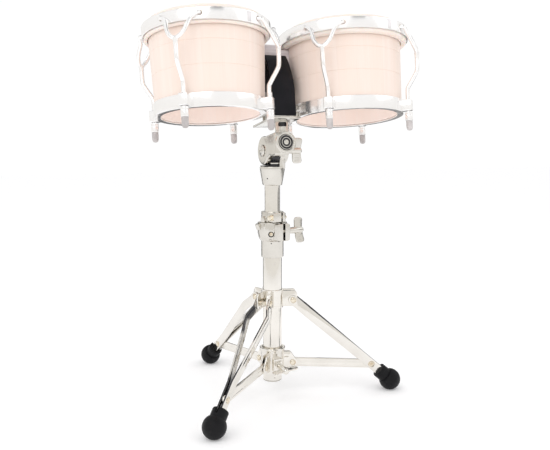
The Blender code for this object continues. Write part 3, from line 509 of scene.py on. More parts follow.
CHROME = make_chrome("chrome", (0.86, 0.83, 0.78), (0.79, 0.76, 0.705), 0.05, 0.17)
SATIN = make_chrome("satin_chrome", (0.72, 0.695, 0.645), (0.65, 0.625, 0.575), 0.08, 0.2)
WHITE_CHROME = make_chrome("white_chrome", (0.985, 0.975, 0.97), (0.96, 0.95, 0.945), 0.13, 0.22,
                           metal=0.85)
WELD = make_chrome("band_weld", (0.8, 0.78, 0.79), (0.74, 0.72, 0.73), 0.28, 0.42, metal=0.6)
BRASS = make_brass()
RUBBER = make_rubber("foot_rubber", (0.003, 0.003, 0.004), 0.45)
PAD = make_rubber("pad_rubber", (0.003, 0.003, 0.006), 0.36, 1200)
TIP = make_rubber("tip_rubber", (0.5, 0.47, 0.465), 0.5)
NYLON = make_plain("nylon", (0.02, 0.02, 0.022), 0.42)
# black enamel for real black parts, and also for black pieces that stand for painted shade and dark
# reflection
ENAMEL_AND_PAINTED_DARK = make_plain("black_enamel_and_painted_dark", (0.015, 0.015, 0.018), 0.2)
WOOD = make_wood("stave_wood", (0.955, 0.835, 0.765), (0.925, 0.775, 0.695))
# paler than the outside wood, and glowing: painted light for the shaded inside of the shells
LIT_WOOD_INSIDE = make_wood("stave_wood_inside_lit", (0.985, 0.89, 0.845), (0.955, 0.845, 0.79), True)
BLOCK = make_block_wood()
RAWHIDE = make_rawhide()

# ---- pieces


def piece(made, surface, body, *replaced, slot="chrome"):
    made.data.materials.clear()
    made.data.materials.append(surface)
    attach(made, body)
    if replaced:
        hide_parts(*replaced)
    return made


def carry(name, surface, bevel=0.0005, segments=2):
    """A CAD node that is shown as it is, with its edges eased."""
    made = nodes[name]
    made.data.materials.clear()
    made.data.materials.append(surface)
    weld = made.modifiers.new("weld", "WELD")
    weld.merge_threshold = 0.00001
    ease = made.modifiers.new("ease", "BEVEL")
    ease.width = bevel
    ease.segments = segments
    ease.limit_method = "ANGLE"
    ease.angle_limit = math.radians(35)
    ease.harden_normals = True
    made.data.shade_smooth()
    return made


def tube_profile(inner, outer, low, high, edge=0.0004):
    return rounded([(outer, high), (outer, low), (inner, low), (inner, high)], edge, 2)


def dome(name, place, radius, height, steps=40):
    """A rivet's domed head on +Z with a small flat rim."""
    profile = [(0, height)]
    profile += [(radius * 0.86 * math.sin(a), height * (0.25 + 0.75 * math.cos(a)))
                for a in [math.radians(d) for d in (18, 36, 54, 72, 88)]]
    profile += [(radius, height * 0.18), (radius, 0), (0, 0)]
    return lathe(name, profile, place, steps)


def make_column():
    inner = LOWER_R - WALL
    tube = lathe("lower_tube_skin", tube_profile(inner, LOWER_R, 0.0262, 0.26), STAND, 128)
    piece(tube, CHROME, "base", "lower_tube")
    cap = lathe("end_cap_skin", rounded([
        (0, 0.0349), (inner - GAP, 0.0349), (inner - GAP, 0.0259), (LOWER_R, 0.0259),
        (LOWER_R, 0.025), (LOWER_R - 0.0016, 0.0237), (0, 0.0237)], 0.0005, 2, False), STAND)
    piece(cap, SATIN, "base", "tube_end_cap")
    screw = dome("tube_set_screw", outward(262, LOWER_R - 0.0004, 0.0312), 0.0021, 0.001, 24)
    piece(screw, SATIN, "base")
    stop = dome("tube_stop_rivet", outward(264, LOWER_R - 0.0005, 0.2268), 0.0016, 0.001, 24)
    piece(stop, SATIN, "base")
    tube = lathe("upper_tube_skin", tube_profile(UPPER_R - WALL, UPPER_R, 0.145, 0.377), STAND, 128)
    piece(tube, CHROME, "mast", "upper_tube")
    profile = tube_profile(UPPER_R + 0.0002, 0.016, 0.2603, 0.295, 0.0006)
    piece(lathe("bushing_skin", profile, STAND), NYLON, "bushing", "clamp_bushing", slot="nylon")


def make_height_clamp():
    """The cast clamp: a bowl on a sleeve, two ears with a slit, a lug and a recessed screw."""
    place = around(CLAMP_AZIMUTH)
    low, high = CLAMP_LOW, CLAMP_HIGH
    bowl = [(CLAMP_R - 0.0012, high), (CLAMP_R - 0.0004, high - 0.0004), (CLAMP_R, high - 0.0014)]
    bowl += [(CLAMP_R, low + 0.016), (CLAMP_R - 0.0004, low + 0.012),
             (CLAMP_R - 0.0011, low + 0.0085), (CLAMP_R - 0.002, low + 0.0055),
             (CLAMP_R - 0.0033, low + 0.0028), (CLAMP_R - 0.0046, low + 0.001), (0.0188, low)]
    barrel = lathe("height_clamp_skin", bowl + [
        (0.0187, low - 0.001), (0.0187, 0.2378), (0.018, 0.2362), (0.0175, 0.2359),
        (BORE_R, 0.2359), (BORE_R, high)], place, 128)
    bolt_z = (low + high) / 2 + 0.002
    side = rounded([(-0.0126, low + 0.002), (0.0126, low + 0.002), (0.0126, high - 0.001),
                    (-0.0126, high - 0.001)], 0.0048, 6)
    ears = slab("ears", side, 0.017, place @ move(0.024, 0, 0) @ SIDE, 0.0016, 4)
    lug = rod("lug", (-0.0044, -0.024, high - 0.012), (-0.0051, -0.0275, high - 0.0022), 0.004,
              place, 0.0012)
    join(barrel, ears, lug)
    slit = block("slit", (0.012, -0.0024, low - 0.0006), (0.04, 0.0024, high + 0.005), place, 0)
    hole = rod("hole", (0.0262, -0.0098, bolt_z), (0.0262, 0.02, bolt_z), BOLT_HOLE_R, place)
    bore = rod("bore", (0, 0, 0.234), (0, 0, high + 0.004), BORE_R, place, 0.0001, 128)
    look = outward(SOCKET_AZIMUTH, 0, bolt_z - 0.005)
    socket = rod("socket", (0, 0, 0.0195), (0, 0, 0.028), 0.0048, look, 0)
    notch = block("notch", (0.0225, -0.0016, high - 0.0056), (0.029, 0.0016, high + 0.002),
                  around(216), 0)
    cut(barrel, slit, hole, bore, socket, notch)
    piece(barrel, SATIN, "base", "height_clamp")

    screw = lathe("clamp_socket_screw", rounded([
        (0, 0.0208), (0.0013, 0.0208), (0.0015, 0.0218), (0.003, 0.0218), (0.0034, 0.0212),
        (0.0034, 0.0196), (0, 0.0196)], 0.0002, 2, False), look, 48)
    piece(screw, BRASS, "base", slot="brass")
    recess = lathe("clamp_socket_shade", tube_profile(0.0035, 0.0047, 0.0196, 0.0206, 0.0001),
                   look, 48)
    piece(recess, ENAMEL_AND_PAINTED_DARK, "base")
    bolt = rod("height_bolt_skin", (0.0262, -0.0095, bolt_z), (0.0262, 0.0268, bolt_z), BOLT_R,
               place, 0.0004)
    piece(bolt, SATIN, "base", "height_clamp_bolt")
    piece(dome("sleeve_pin", outward(SOCKET_AZIMUTH, 0.0184, 0.2605), 0.0012, 0.001, 20), ENAMEL_AND_PAINTED_DARK,
          "base")


def wing(name, place, stem):
    """A wing nut on +Z, or a wing screw where there is a stem; ridges on one wing."""
    hub = lathe(name, [(0, 0.0305), (0.0026, 0.0304), (0.0036, 0.0299), (0.0048, 0.0285),
                       (0.0054, 0.0268), (0.0054, 0.0098), (0.005, 0), (0, 0)], place, 48)
    blades = []
    for way in (1, -1):
        outline = [(0.003, 0.0135), (0.0115, 0.014), (0.019, 0.0149), (0.0213, 0.0175),
                   (0.0214, 0.0262), (0.0202, 0.0304), (0.0165, 0.0316), (0.0105, 0.0299),
                   (0.003, 0.0292)]
        outline = rounded([(way * x, z) for x, z in outline][::way], 0.003, 4)
        blades.append(slab("blade", outline, 0.0034, place @ UPRIGHT, 0.0013, 4))
    ridges = [block("ridge", (0.0112 + 0.0023 * step, -0.0019, 0.0175),
                    (0.012 + 0.0023 * step, 0.0019, 0.0275), place, 0.0003, 1)
              for step in range(4)]
    join(hub, *blades, *ridges)
    if stem:
        join(hub, rod("stem", (0, 0, -stem), (0, 0, 0.002), BOLT_R, place, 0.0004, 32))
    else:
        cut(hub, rod("bore", (0, 0, -0.001), (0, 0, 0.015), BOLT_HOLE_R, place, 0.0001, 32))
    return hub


def make_wings():
    """Three wing nuts and a wing screw, each turned to where it was left."""
    lean = turn(-math.degrees(LEAN), "X")
    for label, aim, stem, surface, node in (
            ("height", turn(CLAMP_AZIMUTH) @ ALONG_Y @ turn(80), 0, SATIN, "height_wing_nut"),
            ("slider", turn(WING_AZIMUTH) @ ALONG_X @ turn(100), 0.0165, CHROME,
             "collar_wing_screw"),
            ("tilt", lean @ ALONG_X @ turn(12), 0, SATIN, "tilt_wing_nut"),
            ("jaw", lean @ ALONG_Y @ turn(-38), 0, SATIN, "jaw_wing_nut")):
        place = move(*joints[f"{label}_wing_turn"]["pos_m"]) @ aim
        piece(wing(f"{label}_wing_skin", place, stem), surface, f"{label}_wing", node)


def make_memory_collar():
    place = around(CLAMP_AZIMUTH)
    low, high = MEMORY_LOW, MEMORY_HIGH
    ring = lathe("memory_collar_skin", tube_profile(UPPER_R + GAP, 0.0185, low, high, 0.0012),
                 place, 128)
    outline = rounded([(0.008, -0.017), (0.0265, -0.017), (0.0265, 0.0085), (0.008, 0.0085)],
                      0.003, 4)
    ears = slab("ears", outline, high - low - 0.002, place @ move(0, 0, (low + high) / 2), 0.001, 3)
    tab = slab("tab", rounded([(-0.0045, low), (0.0045, low), (0.0045, low + 0.006),
                               (0, low + 0.0105), (-0.0045, low + 0.006)], 0.001, 2),
               0.007, around(TAB_AZIMUTH, 0.019, 0, 0) @ SIDE, 0.0005, 2)
    slit = block("slit", (0.011, -0.0014, low - 0.002), (0.03, 0.0014, high + 0.002), place, 0)
    bolt_z = (low + high) / 2
    hole = rod("hole", (0.0222, -0.02, bolt_z), (0.0222, 0.012, bolt_z), BOLT_HOLE_R, place)
    bore = rod("bore", (0, 0, low - 0.003), (0, 0, high + 0.003), UPPER_R + 0.00025,
               place, 0.0001, 128)
    join(ring, ears, tab)
    cut(ring, slit, hole, bore)
    piece(ring, SATIN, "mast", "memory_collar")
    shank = rod("memory_bolt_skin", (0.0222, -0.0178, bolt_z), (0.0222, 0.0105, bolt_z), BOLT_R,
                place, 0.0004)
    collar = rod("collar", (0.0222, -0.0194, bolt_z), (0.0222, -0.0173, bolt_z), 0.0055, place,
                 0.0007)
    head = slab("head", arc((0, 0), 0.0043, 0, 300, 5), 0.0058,
                place @ move(0.0222, -0.022, bolt_z) @ UPRIGHT, 0.0006, 2)
    join(shank, collar, head)
    piece(shank, BRASS, "mast", "memory_bolt", slot="brass")


def make_cup():
    """The cup on the mast: a tapered body, the ear on its right, and black and bright strips under
    the tilt disc: painted reflection on a chrome spacer, and painted shade in the gap beside it.
    """
    low, high = 0.3559, 0.3868
    cup = lathe("tilter_cup_skin", [
        (0, high), (0.0192, high), (0.0203, high - 0.0006), (0.0207, high - 0.002),
        (0.0204, high - 0.006), (0.0168, low + 0.004), (0.0164, low + 0.0014),
        (0.0155, low + 0.0002), (0.015, low), (0.0131, low), (0.0131, 0.3774), (0, 0.3774)],
        STAND, 128)
    neck = block("neck", (0.0067, -0.0158, high - 0.004), (0.0168, 0.0158, TILT_Z), STAND, 0.0016,
                 4)
    ear = rod("ear", (0.0068, 0, TILT_Z), (0.0213, 0, TILT_Z), 0.0213, STAND, 0.0018, 128)
    join(cup, neck)
    join(cup, ear)
    cut(cup, rod("hole", (-0.012, 0, TILT_Z), (0.03, 0, TILT_Z), BOLT_HOLE_R, STAND))
    piece(cup, SATIN, "mast", "tilter_cup")
    # a black cylinder round the tilt bolt: the dark bands of painted reflection on a chrome spacer
    dark_band = rod("spacer_dark_reflection", (-0.0078, 0, TILT_Z), (0.0064, 0, TILT_Z), 0.0222, STAND,
                 0.0006, 96)
    cut(dark_band, rod("hole", (-0.012, 0, TILT_Z), (0.012, 0, TILT_Z), BOLT_HOLE_R, STAND))
    piece(dark_band, ENAMEL_AND_PAINTED_DARK, "mast")
    # a lower black strip, more painted reflection; and a thin black strip under the disc, painted
    # shade in the gap between disc and cup
    for name, left, right, top, half, edge in (
            ("lower_dark_reflection", -0.0078, 0.0064, 0.3906, 0.0118, 0.0004),
            ("gap_painted_shade", -0.0172, -0.008, high + 0.0012, 0.0112, 0.0003)):
        pad = block(name, (left, -half, high + 0.0002), (right, half, top), STAND, edge)
        piece(pad, ENAMEL_AND_PAINTED_DARK, "mast")
    # a bright strip between the black ones: painted highlight on the spacer
    plate = block("spacer_highlight", (-0.008, -0.0124, 0.3908), (0.0064, 0.0124, 0.393), STAND,
                  0.0005)
    cut(plate, rod("hole", (-0.012, 0, TILT_Z), (0.012, 0, TILT_Z), 0.0224, STAND))
    piece(plate, SATIN, "mast")
    piece(dome("cup_pin", outward(222, 0.0176, 0.3672), 0.0013, 0.0012, 20), ENAMEL_AND_PAINTED_DARK, "mast")


def make_hub():
    hub = lathe("leg_hub_skin", [
        (0.0186, 0.1814), (0.019, 0.181), (0.019, 0.1552), (0.0188, 0.155), (0.0188, 0.1545),
        (0.019, 0.1543), (0.019, 0.1514), (0.0186, 0.151), (0.0163, 0.151), (0.0163, 0.1814)],
        STAND, 96)
    ear = rounded([(0.015, 0.153), (0.04, 0.153), (0.0412, 0.1545), (0.0412, 0.174),
                   (0.038, 0.1795), (0.015, 0.1795)], 0.0022, 3)
    ears = [slab("ear", ear, EAR_THICK, around(azimuth, 0, way * 0.0086, 0) @ UPRIGHT, 0.0005, 2)
            for azimuth in LEGS.values() for way in (1, -1)]
    join(hub, *ears)
    cut(hub, rod("bore", (0, 0, 0.145), (0, 0, 0.19), BORE_R, STAND, 0.0001, 96))
    piece(hub, CHROME, "base", "leg_hub")
    for name, azimuth in LEGS.items():
        place = around(azimuth, HUB[0], 0, HUB[1])
        rivet(f"hub_{name}", place, 0.0115 + 0.0013 + GAP, 0.002, 0.0052, "base",
              f"hub_rivet_{name}")


def rivet(name, place, reach, height, radius, body, node):
    """A brass rivet across a leg's plane: a shank and two domed heads."""
    shank = rod(f"{name}_pin", (0, -reach, 0), (0, reach, 0), BOLT_R, place)
    heads = [dome("head", place @ turn(-90 * way, "X") @ move(0, 0, reach - 0.0001), radius,
                  height + 0.0001) for way in (1, -1)]
    join(shank, *heads)
    piece(shank, BRASS, body, node, slot="brass")


def make_collar():
    collar = lathe("brace_collar_skin", [
        (0.0206, 0.0821), (0.0214, 0.0818), (0.0218, 0.0811), (0.0217, 0.0801), (0.0207, 0.0772),
        (0.02, 0.0752), (0.0198, 0.0738), (0.0194, 0.0376), (0.019, 0.0371), (0.0163, 0.0371),
        (0.0163, 0.079), (0.0168, 0.0806), (0.0185, 0.0821)], STAND, 128)
    r, z = COLLAR
    ear = [(0.0165, 0.042), (r, z - 0.0085)] + arc((r, z), 0.0085, -60, 60, 10)
    ear += [(0.033, 0.07), (0.03, 0.073), (0.0165, 0.073)]
    ears = [slab("ear", rounded(ear, 0.001, 2), EAR_THICK,
                 around(azimuth, 0, way * 0.0033, 0) @ UPRIGHT, 0.0005, 2)
            for azimuth in LEGS.values() for way in (1, -1)]
    place = around(WING_AZIMUTH)
    boss = block("boss", (0.0165, -0.008, WING_Z - 0.011), (0.027, 0.008, WING_Z + 0.011),
                 place, 0.0012, 3)
    join(collar, *ears, boss)
    bore = rod("bore", (0, 0, 0.03), (0, 0, 0.09), BORE_R, STAND, 0.0001, 96)
    hole = rod("hole", (0.014, 0, WING_Z), (0.03, 0, WING_Z), BOLT_HOLE_R, place)
    cut(collar, bore, hole)
    piece(collar, CHROME, "brace_slider", "brace_collar")
    nut = slab("wing_lock_nut", arc((0, 0), 0.0062, 0, 300, 5), 0.0034,
               place @ move(0.029, 0, WING_Z) @ SIDE, 0.0006, 2)
    cut(nut, rod("hole", (0.02, 0, WING_Z), (0.04, 0, WING_Z), 0.0033, place))
    piece(nut, CHROME, "brace_slider")
    for name, azimuth in LEGS.items():
        place = around(azimuth, r, 0, z)
        rivet(f"collar_{name}", place, 0.0046 + GAP, 0.002, 0.0052, "brace_slider",
              f"collar_rivet_{name}")


def make_legs():
    for name, azimuth in LEGS.items():
        body = f"leg_{name}"
        place = around(azimuth, HUB[0], 0, HUB[1]) @ turn(LEG_SLOPE, "Y")
        for label, way in (("a", 1), ("b", -1)):
            sides = [(place.to_3x3() @ Vector(side)).to_tuple()
                     for side in ((0, -way, 0), (0, 0, 1))]
            shaded = [(side, *shade) for side, shade in zip(sides, STRAP_SHADE[name])]
            # each strap gets its own copy of the chrome, with painted shade and dark reflection on
            # its inner side and top edge
            strap = make_chrome(f"strap_chrome_{name}_{label}", (0.84, 0.815, 0.77),
                                (0.77, 0.74, 0.69), 0.05, 0.17, shaded=shaded)
            carry(f"leg_{name}_strap_{label}", strap, 0.0007, 3)
            head = dome(f"leg_{name}_rivet_{label}",
                        place @ move(BRACE_PIVOT_U, way * 0.0045, 0) @ turn(-90 * way, "X"),
                        0.0057, 0.0025)
            piece(head, BRASS, body, slot="brass")
        carry(f"brace_{name}", CHROME, 0.0007, 3)
        make_foot(name, place)


def make_foot(name, place):
    """A rubber ball on a socket collar, with a mould line and a slot for the two straps."""
    centre, ball, neck = LEG_LENGTH, 0.0183, 0.0127
    start = centre - 0.027
    side = [(0, start), (0.0112, start), (0.0122, start + 0.0005), (neck, start + 0.0016),
            (neck, start + 0.003), (neck - 0.0004, start + 0.0036), (neck, start + 0.0042),
            (neck, centre - 0.0112)]
    side += [(0.0151, centre - 0.0104)]
    side += [(ball * math.sin(a), centre - ball * math.cos(a))
             for a in [math.radians(d) for d in (62, 70, 78, 86)]]
    side += [(ball - 0.0003, centre + 0.0002)]
    side += [(ball * math.sin(a), centre - ball * math.cos(a))
             for a in [math.radians(d) for d in range(94, 180, 8)]]
    side += [(0, centre + ball)]
    foot = lathe(f"foot_{name}_skin", side, place @ ALONG_X, 96, 40)
    half = 0.0083
    slot = block("slot", (start - 0.01, -0.005, -half), (centre - 0.0127, 0.005, half), place, 0)
    floor = block("floor", (-0.5, -0.5, -0.05), (0.5, 0.5, 0), Matrix.Identity(4), 0)
    notch = block("notch", (start - 0.01, -0.0022, 0), (start + 0.0105, 0.0022, 0.014), place, 0)
    cut(foot, slot, notch, floor)
    piece(foot, RUBBER, f"leg_{name}", f"foot_{name}", slot="rubber")


def make_tilter():
    """The tilting arm as one casting, its bolt, and a plain round badge on its nose."""
    disc = rod("tilter_arm_skin", (DISC_X[0] + 0.0001, 0, 0), (DISC_X[1] - 0.0001, 0, 0),
               DISC_R - 0.0001, TILT, 0.003, 96)
    web = slab("web", rounded([(-0.04, BOSS_Z - 0.0145), (-0.015, -DISC_R + 0.0068),
                               (0, -DISC_R + 0.007), (0, DISC_R - 0.002),
                               (-0.04, BOSS_Z + 0.0162)], 0.003, 3), DISC_X[1] - DISC_X[0] - 0.0008,
               TILT @ move(sum(DISC_X) / 2, 0, 0) @ SIDE, 0.0022, 3)
    boss = rod("boss", (JAW_X - 0.001, BOSS_Y[0] + 0.0001, BOSS_Z),
               (JAW_X - 0.001, BOSS_Y[1], BOSS_Z), BOSS_R - 0.0001, TILT, 0.0022, 96)
    belly = [(-0.056, BOSS_Z + 0.0164), (-0.056, BOSS_Z - 0.0206), (-0.037, BOSS_Z - 0.0204),
             (-0.0305, BOSS_Z - 0.0175), (-0.0246, BOSS_Z - 0.0175), (-0.0246, BOSS_Z + 0.016)]
    body = slab("body", rounded(belly, 0.005, 4), 0.0235,
                TILT @ move(DISC_X[0] + 0.0122, 0, 0) @ SIDE, 0.004, 5)
    join(disc, web, boss, body)
    hole = rod("hole", (-0.02, 0, 0), (-0.006, 0, 0), BOLT_HOLE_R, TILT)
    pocket = rod("pocket", (JAW_X, NECK_Y, 0.018), (JAW_X, NECK_Y, 0.03), 0.0109, TILT, 0.0001)
    seat = rod("seat", (JAW_X - 0.001, BOSS_Y[0] - 0.001, BOSS_Z),
               (JAW_X - 0.001, BOSS_Y[0] + 0.0012, BOSS_Z), 0.0131, TILT, 0.0001, 96)
    cut(disc, hole, pocket, seat)
    cast(disc)
    piece(disc, SATIN, "tilt_head", "tilter_arm")

    face = TILT @ move(JAW_X - 0.001, BOSS_Y[0] + 0.001, BOSS_Z) @ turn(90, "X")
    badge = lathe("badge", rounded([(0, 0.0009), (0.0122, 0.0006), (0.0126, 0), (0, 0)],
                                   0.0003, 2, False), face, 96)
    piece(badge, ENAMEL_AND_PAINTED_DARK, "tilt_head")
    for label, radius, width in (("outer", 0.0118, 0.0008), ("inner", 0.0078, 0.001)):
        ring = lathe(f"badge_ring_{label}", tube_profile(radius - width, radius, 0.0004, 0.0012,
                                                         0.0002), face, 96)
        piece(ring, SATIN, "tilt_head")
    piece(dome("badge_stud", face @ move(0, 0, 0.0006), 0.0042, 0.0009, 48), SATIN, "tilt_head")

    bolt = lathe("tilt_bolt_skin", [
        (0, 0.0209), (0.005, 0.0208), (0.0082, 0.0203), (0.0095, 0.0195), (0.01, 0.0183),
        (0.01, 0.0178), (0.003, 0.0178), (0.003, -0.0357), (0.0027, -0.036), (0, -0.036)],
        TILT @ turn(-90, "Y"), 64)
    cut(bolt, block("slot", (-0.022, -0.007, -0.0009), (-0.0198, 0.007, 0.0009), TILT, 0))
    piece(bolt, SATIN, "tilt_head", "tilt_bolt")


def make_clamp():
    low, high = 0.042, 0.0455
    place = TILT @ move(JAW_X, NECK_Y, 0)
    neck = lathe("clamp_bracket_skin", [
        (0, 0.043), (0.0105, 0.043), (0.0105, 0.0262), (0.0102, 0.0258), (0.0102, 0.0252),
        (0.0105, 0.0248), (0.0105, 0.019), (0.01, 0.0184), (0, 0.0184)], place, 80)
    window = slab("window", rounded([(-0.0068, 0.0318), (0.0068, 0.0318), (0.0068, 0.0388),
                                     (-0.0068, 0.0388)], 0.0024, 3), 0.014,
                  place @ turn(-10) @ move(0, -0.0075, 0) @ UPRIGHT, 0)
    cut(neck, window)
    # a black core behind the window: painted shade inside the neck
    core = rod("neck_window_shade", (JAW_X, NECK_Y, 0.031), (JAW_X, NECK_Y, 0.04), 0.0086, TILT)
    piece(core, ENAMEL_AND_PAINTED_DARK, "tilt_head")
    flange = block("flange", (JAW_X - 0.0245, -0.0625, low), (JAW_X + 0.0245, 0.025, high), TILT,
                   0.001, 3)
    lips = [slab("lip", rounded([(-0.06, low + 0.001), (-0.03, low + 0.001),
                                 (-0.033, 0.053), (-0.036, 0.0545), (-0.06, 0.0545)],
                                0.003, 3), 0.0024,
                 TILT @ move(JAW_X + x, 0, 0) @ SIDE, 0.0006, 2) for x in (-0.0232, 0.0232)]
    join(neck, flange, *lips)
    piece(neck, SATIN, "tilt_head", "clamp_bracket")
    carry("front_jaw_plate", CHROME, 0.0004)
    carry("front_jaw_pad", PAD, 0.0011, 3)
    carry("rear_jaw_pad", PAD, 0.0011, 3)
    carry("rear_jaw_plate", SATIN, 0.0003)
    stud = rod("jaw_screw_skin", (JAW_X, -0.0545, JAW_SCREW_Z), (JAW_X, 0.0355, JAW_SCREW_Z),
               BOLT_R, TILT, 0.0005)
    piece(stud, CHROME, "tilt_head", "jaw_screw")
    swivel = lathe("jaw_swivel", rounded([(0.0034, 0.004), (0.0078, 0.0034), (0.0098, 0.0012),
                                          (0.0098, 0), (0.0034, 0)], 0.0006, 2),
                   TILT @ move(JAW_X, 0.0176, JAW_SCREW_Z) @ ALONG_Y @ turn(180, "X"), 48)
    piece(swivel, BRASS, "rear_jaw", slot="brass")


def shell_radius(drum, height):
    _, _, ring, top = DRUMS[drum]
    foot = ring - STEEL - GAP
    return foot + (top - foot) * (height - SHELL_FOOT) / (SHELL_TOP - SHELL_FOOT)


def make_shell(drum, place):
    """The flaring shell: ring joints scored round it, rounded rims, and an inside with painted
    light: paler wood that glows a little.
    """
    _, _, _, top = DRUMS[drum]
    foot = shell_radius(drum, SHELL_FOOT)
    side = [(top - 0.0042, SHELL_TOP), (top - 0.003, SHELL_TOP - 0.0002),
            (top - 0.0008, SHELL_TOP - 0.0018), (top, SHELL_TOP - 0.0036)]
    for height in (0.0965, 0.061):
        r = shell_radius(drum, height)
        side += [(r, height + 0.0006), (r - 0.0005, height + 0.0001), (r - 0.0005, height - 0.0001),
                 (r, height - 0.0006)]
    side += [(foot, SHELL_FOOT + 0.0012), (foot - 0.001, SHELL_FOOT)]
    inside = [(foot - SHELL_WALL + 0.0006, SHELL_FOOT), (foot - SHELL_WALL, SHELL_FOOT + 0.0008),
              (top - SHELL_WALL, SHELL_TOP - 0.001), (top - SHELL_WALL + 0.0008, SHELL_TOP)]
    shell = lathe(f"{drum}_shell_skin", side + inside, place, 160)
    way = -1 if drum == "right" else 1
    z = BLOCK_BOLT_Z - DRUM_Z
    for bolt_y in BLOCK_BOLT_YS:
        y = bolt_y - DRUM_Y
        cut(shell, rod("hole", (way * 0.05, y, z), (way * 0.12, y, z), BOLT_HOLE_R, place))
    piece(shell, WOOD, "tilt_head", f"{drum}_shell", slot="pale_wood")
    shell.data.materials.append(LIT_WOOD_INSIDE)
    centre = place.to_translation()
    up = place.to_3x3() @ Vector((0, 0, 1))
    # faces turned inwards take the inside wood with its painted light
    for face in shell.data.polygons:
        out = face.center - centre
        out -= up * out.dot(up)
        if face.normal.dot(out.normalized()) < -0.3:
            face.material_index = 1


def make_head(drum, place):
    """The skin: drawn over the shell's rim, down to its flesh hoop under the band."""
    _, band, _, top = DRUMS[drum]
    lap = top + GAP
    hoop_r = (band - STEEL - top - 2 * GAP) / 2
    hoop = (lap + hoop_r, BAND_LOW - 0.001)
    crown = SHELL_TOP + GAP
    side = [(0, crown + SKIN - 0.0004), (top * 0.5, crown + SKIN - 0.0003),
            (top - 0.008, crown + SKIN - 0.0001), (top - 0.004, crown + SKIN),
            (top - 0.0016, crown + SKIN - 0.0008), (lap + SKIN * 0.75, SHELL_TOP - 0.0018),
            (lap + SKIN, SHELL_TOP - 0.004), (lap + SKIN, BAND_LOW + 0.0038)]
    side += arc(hoop, hoop_r, 118, -90, 12)
    side += [(lap, hoop[1] - hoop_r + 0.0002), (lap, SHELL_TOP - 0.0029),
             (top - 0.0029, crown), (0, crown)]
    head = lathe(f"{drum}_head_skin", side, place, 160, 50)
    rng = random.Random(drum)
    phases = [(rng.uniform(0, math.tau), rng.randint(9, 31)) for _ in range(5)]
    centre = place.to_translation()
    up = place.to_3x3() @ Vector((0, 0, 1))
    inverse = place.inverted()
    for vert in head.data.vertices:
        local = inverse @ vert.co
        if local.z < BAND_LOW + 0.002 and math.hypot(local.x, local.y) > hoop[0]:
            angle = math.atan2(local.y, local.x)
            ripple = sum(math.sin(phase + angle * k) for phase, k in phases) / 5
            inward = centre - vert.co
            inward -= up * inward.dot(up)
            vert.co += inward.normalized() * (0.00025 * (1 + ripple))
    piece(head, RAWHIDE, "tilt_head", f"{drum}_head", slot="rawhide")


def make_band(drum, place):
    """The tuning band, with the lip that bears on the hoop, eight holes and a weld."""
    _, band, _, top = DRUMS[drum]
    lip = top + SKIN + 3 * GAP
    high = BAND_LOW + BAND_TALL
    rim = lathe(f"{drum}_band_skin", rounded([
        (band, high), (band, BAND_LOW), (band - STEEL, BAND_LOW), (band - STEEL, BAND_LOW + 0.0045),
        (lip, BAND_LOW + 0.0045), (lip, BAND_LOW + 0.0064), (band - STEEL, BAND_LOW + 0.0064),
        (band - STEEL, high)], 0.0007, 3), place, 160)
    for angle in LUG_ANGLES[drum]:
        for way in (1, -1):
            spot = place @ turn(angle + math.degrees(way * TIP_ARC / band))
            cut(rim, rod("hole", (band - 0.006, 0, TIP_Z), (band + 0.006, 0, TIP_Z), 0.0042,
                         spot, 0.0001, 28))
    piece(rim, WHITE_CHROME, "tilt_head", f"{drum}_tuning_band", slot="white_chrome")
    weld = block(f"{drum}_band_weld", (band - 0.0006, -0.004, BAND_LOW + 0.0012),
                 (band + 0.00005, 0.004, high - 0.0012),
                 place @ turn(292 if drum == "left" else 285), 0.00015, 2)
    piece(weld, WELD, "tilt_head", slot="white_chrome")


def make_ring(drum, place):
    """The bottom ring: rolled edges, and a drilled block for each tuning rod."""
    ring = DRUMS[drum][2]
    base = lathe(f"{drum}_ring_skin", rounded([
        (shell_radius(drum, RING_TALL) + GAP + STEEL, RING_TALL), (ring, 0),
        (ring - 0.01, 0), (ring - 0.01, STEEL), (shell_radius(drum, STEEL) + GAP, STEEL),
        (shell_radius(drum, RING_TALL) + GAP, RING_TALL)], 0.0007, 3), place, 160)
    for angle in LUG_ANGLES[drum]:
        spot = place @ turn(angle)
        join(base, block("lug", (ring - 0.001, -0.007, 0.0008), (ring + 0.016, 0.007, 0.019),
                         spot, 0.0016, 4))
        cut(base, rod("hole", (ring + LUG_OUT, 0, -0.01), (ring + LUG_OUT, 0, 0.03), 0.0042,
                      spot, 0.0001, 32))
    piece(base, WHITE_CHROME, "tilt_head", f"{drum}_bottom_ring", slot="white_chrome")


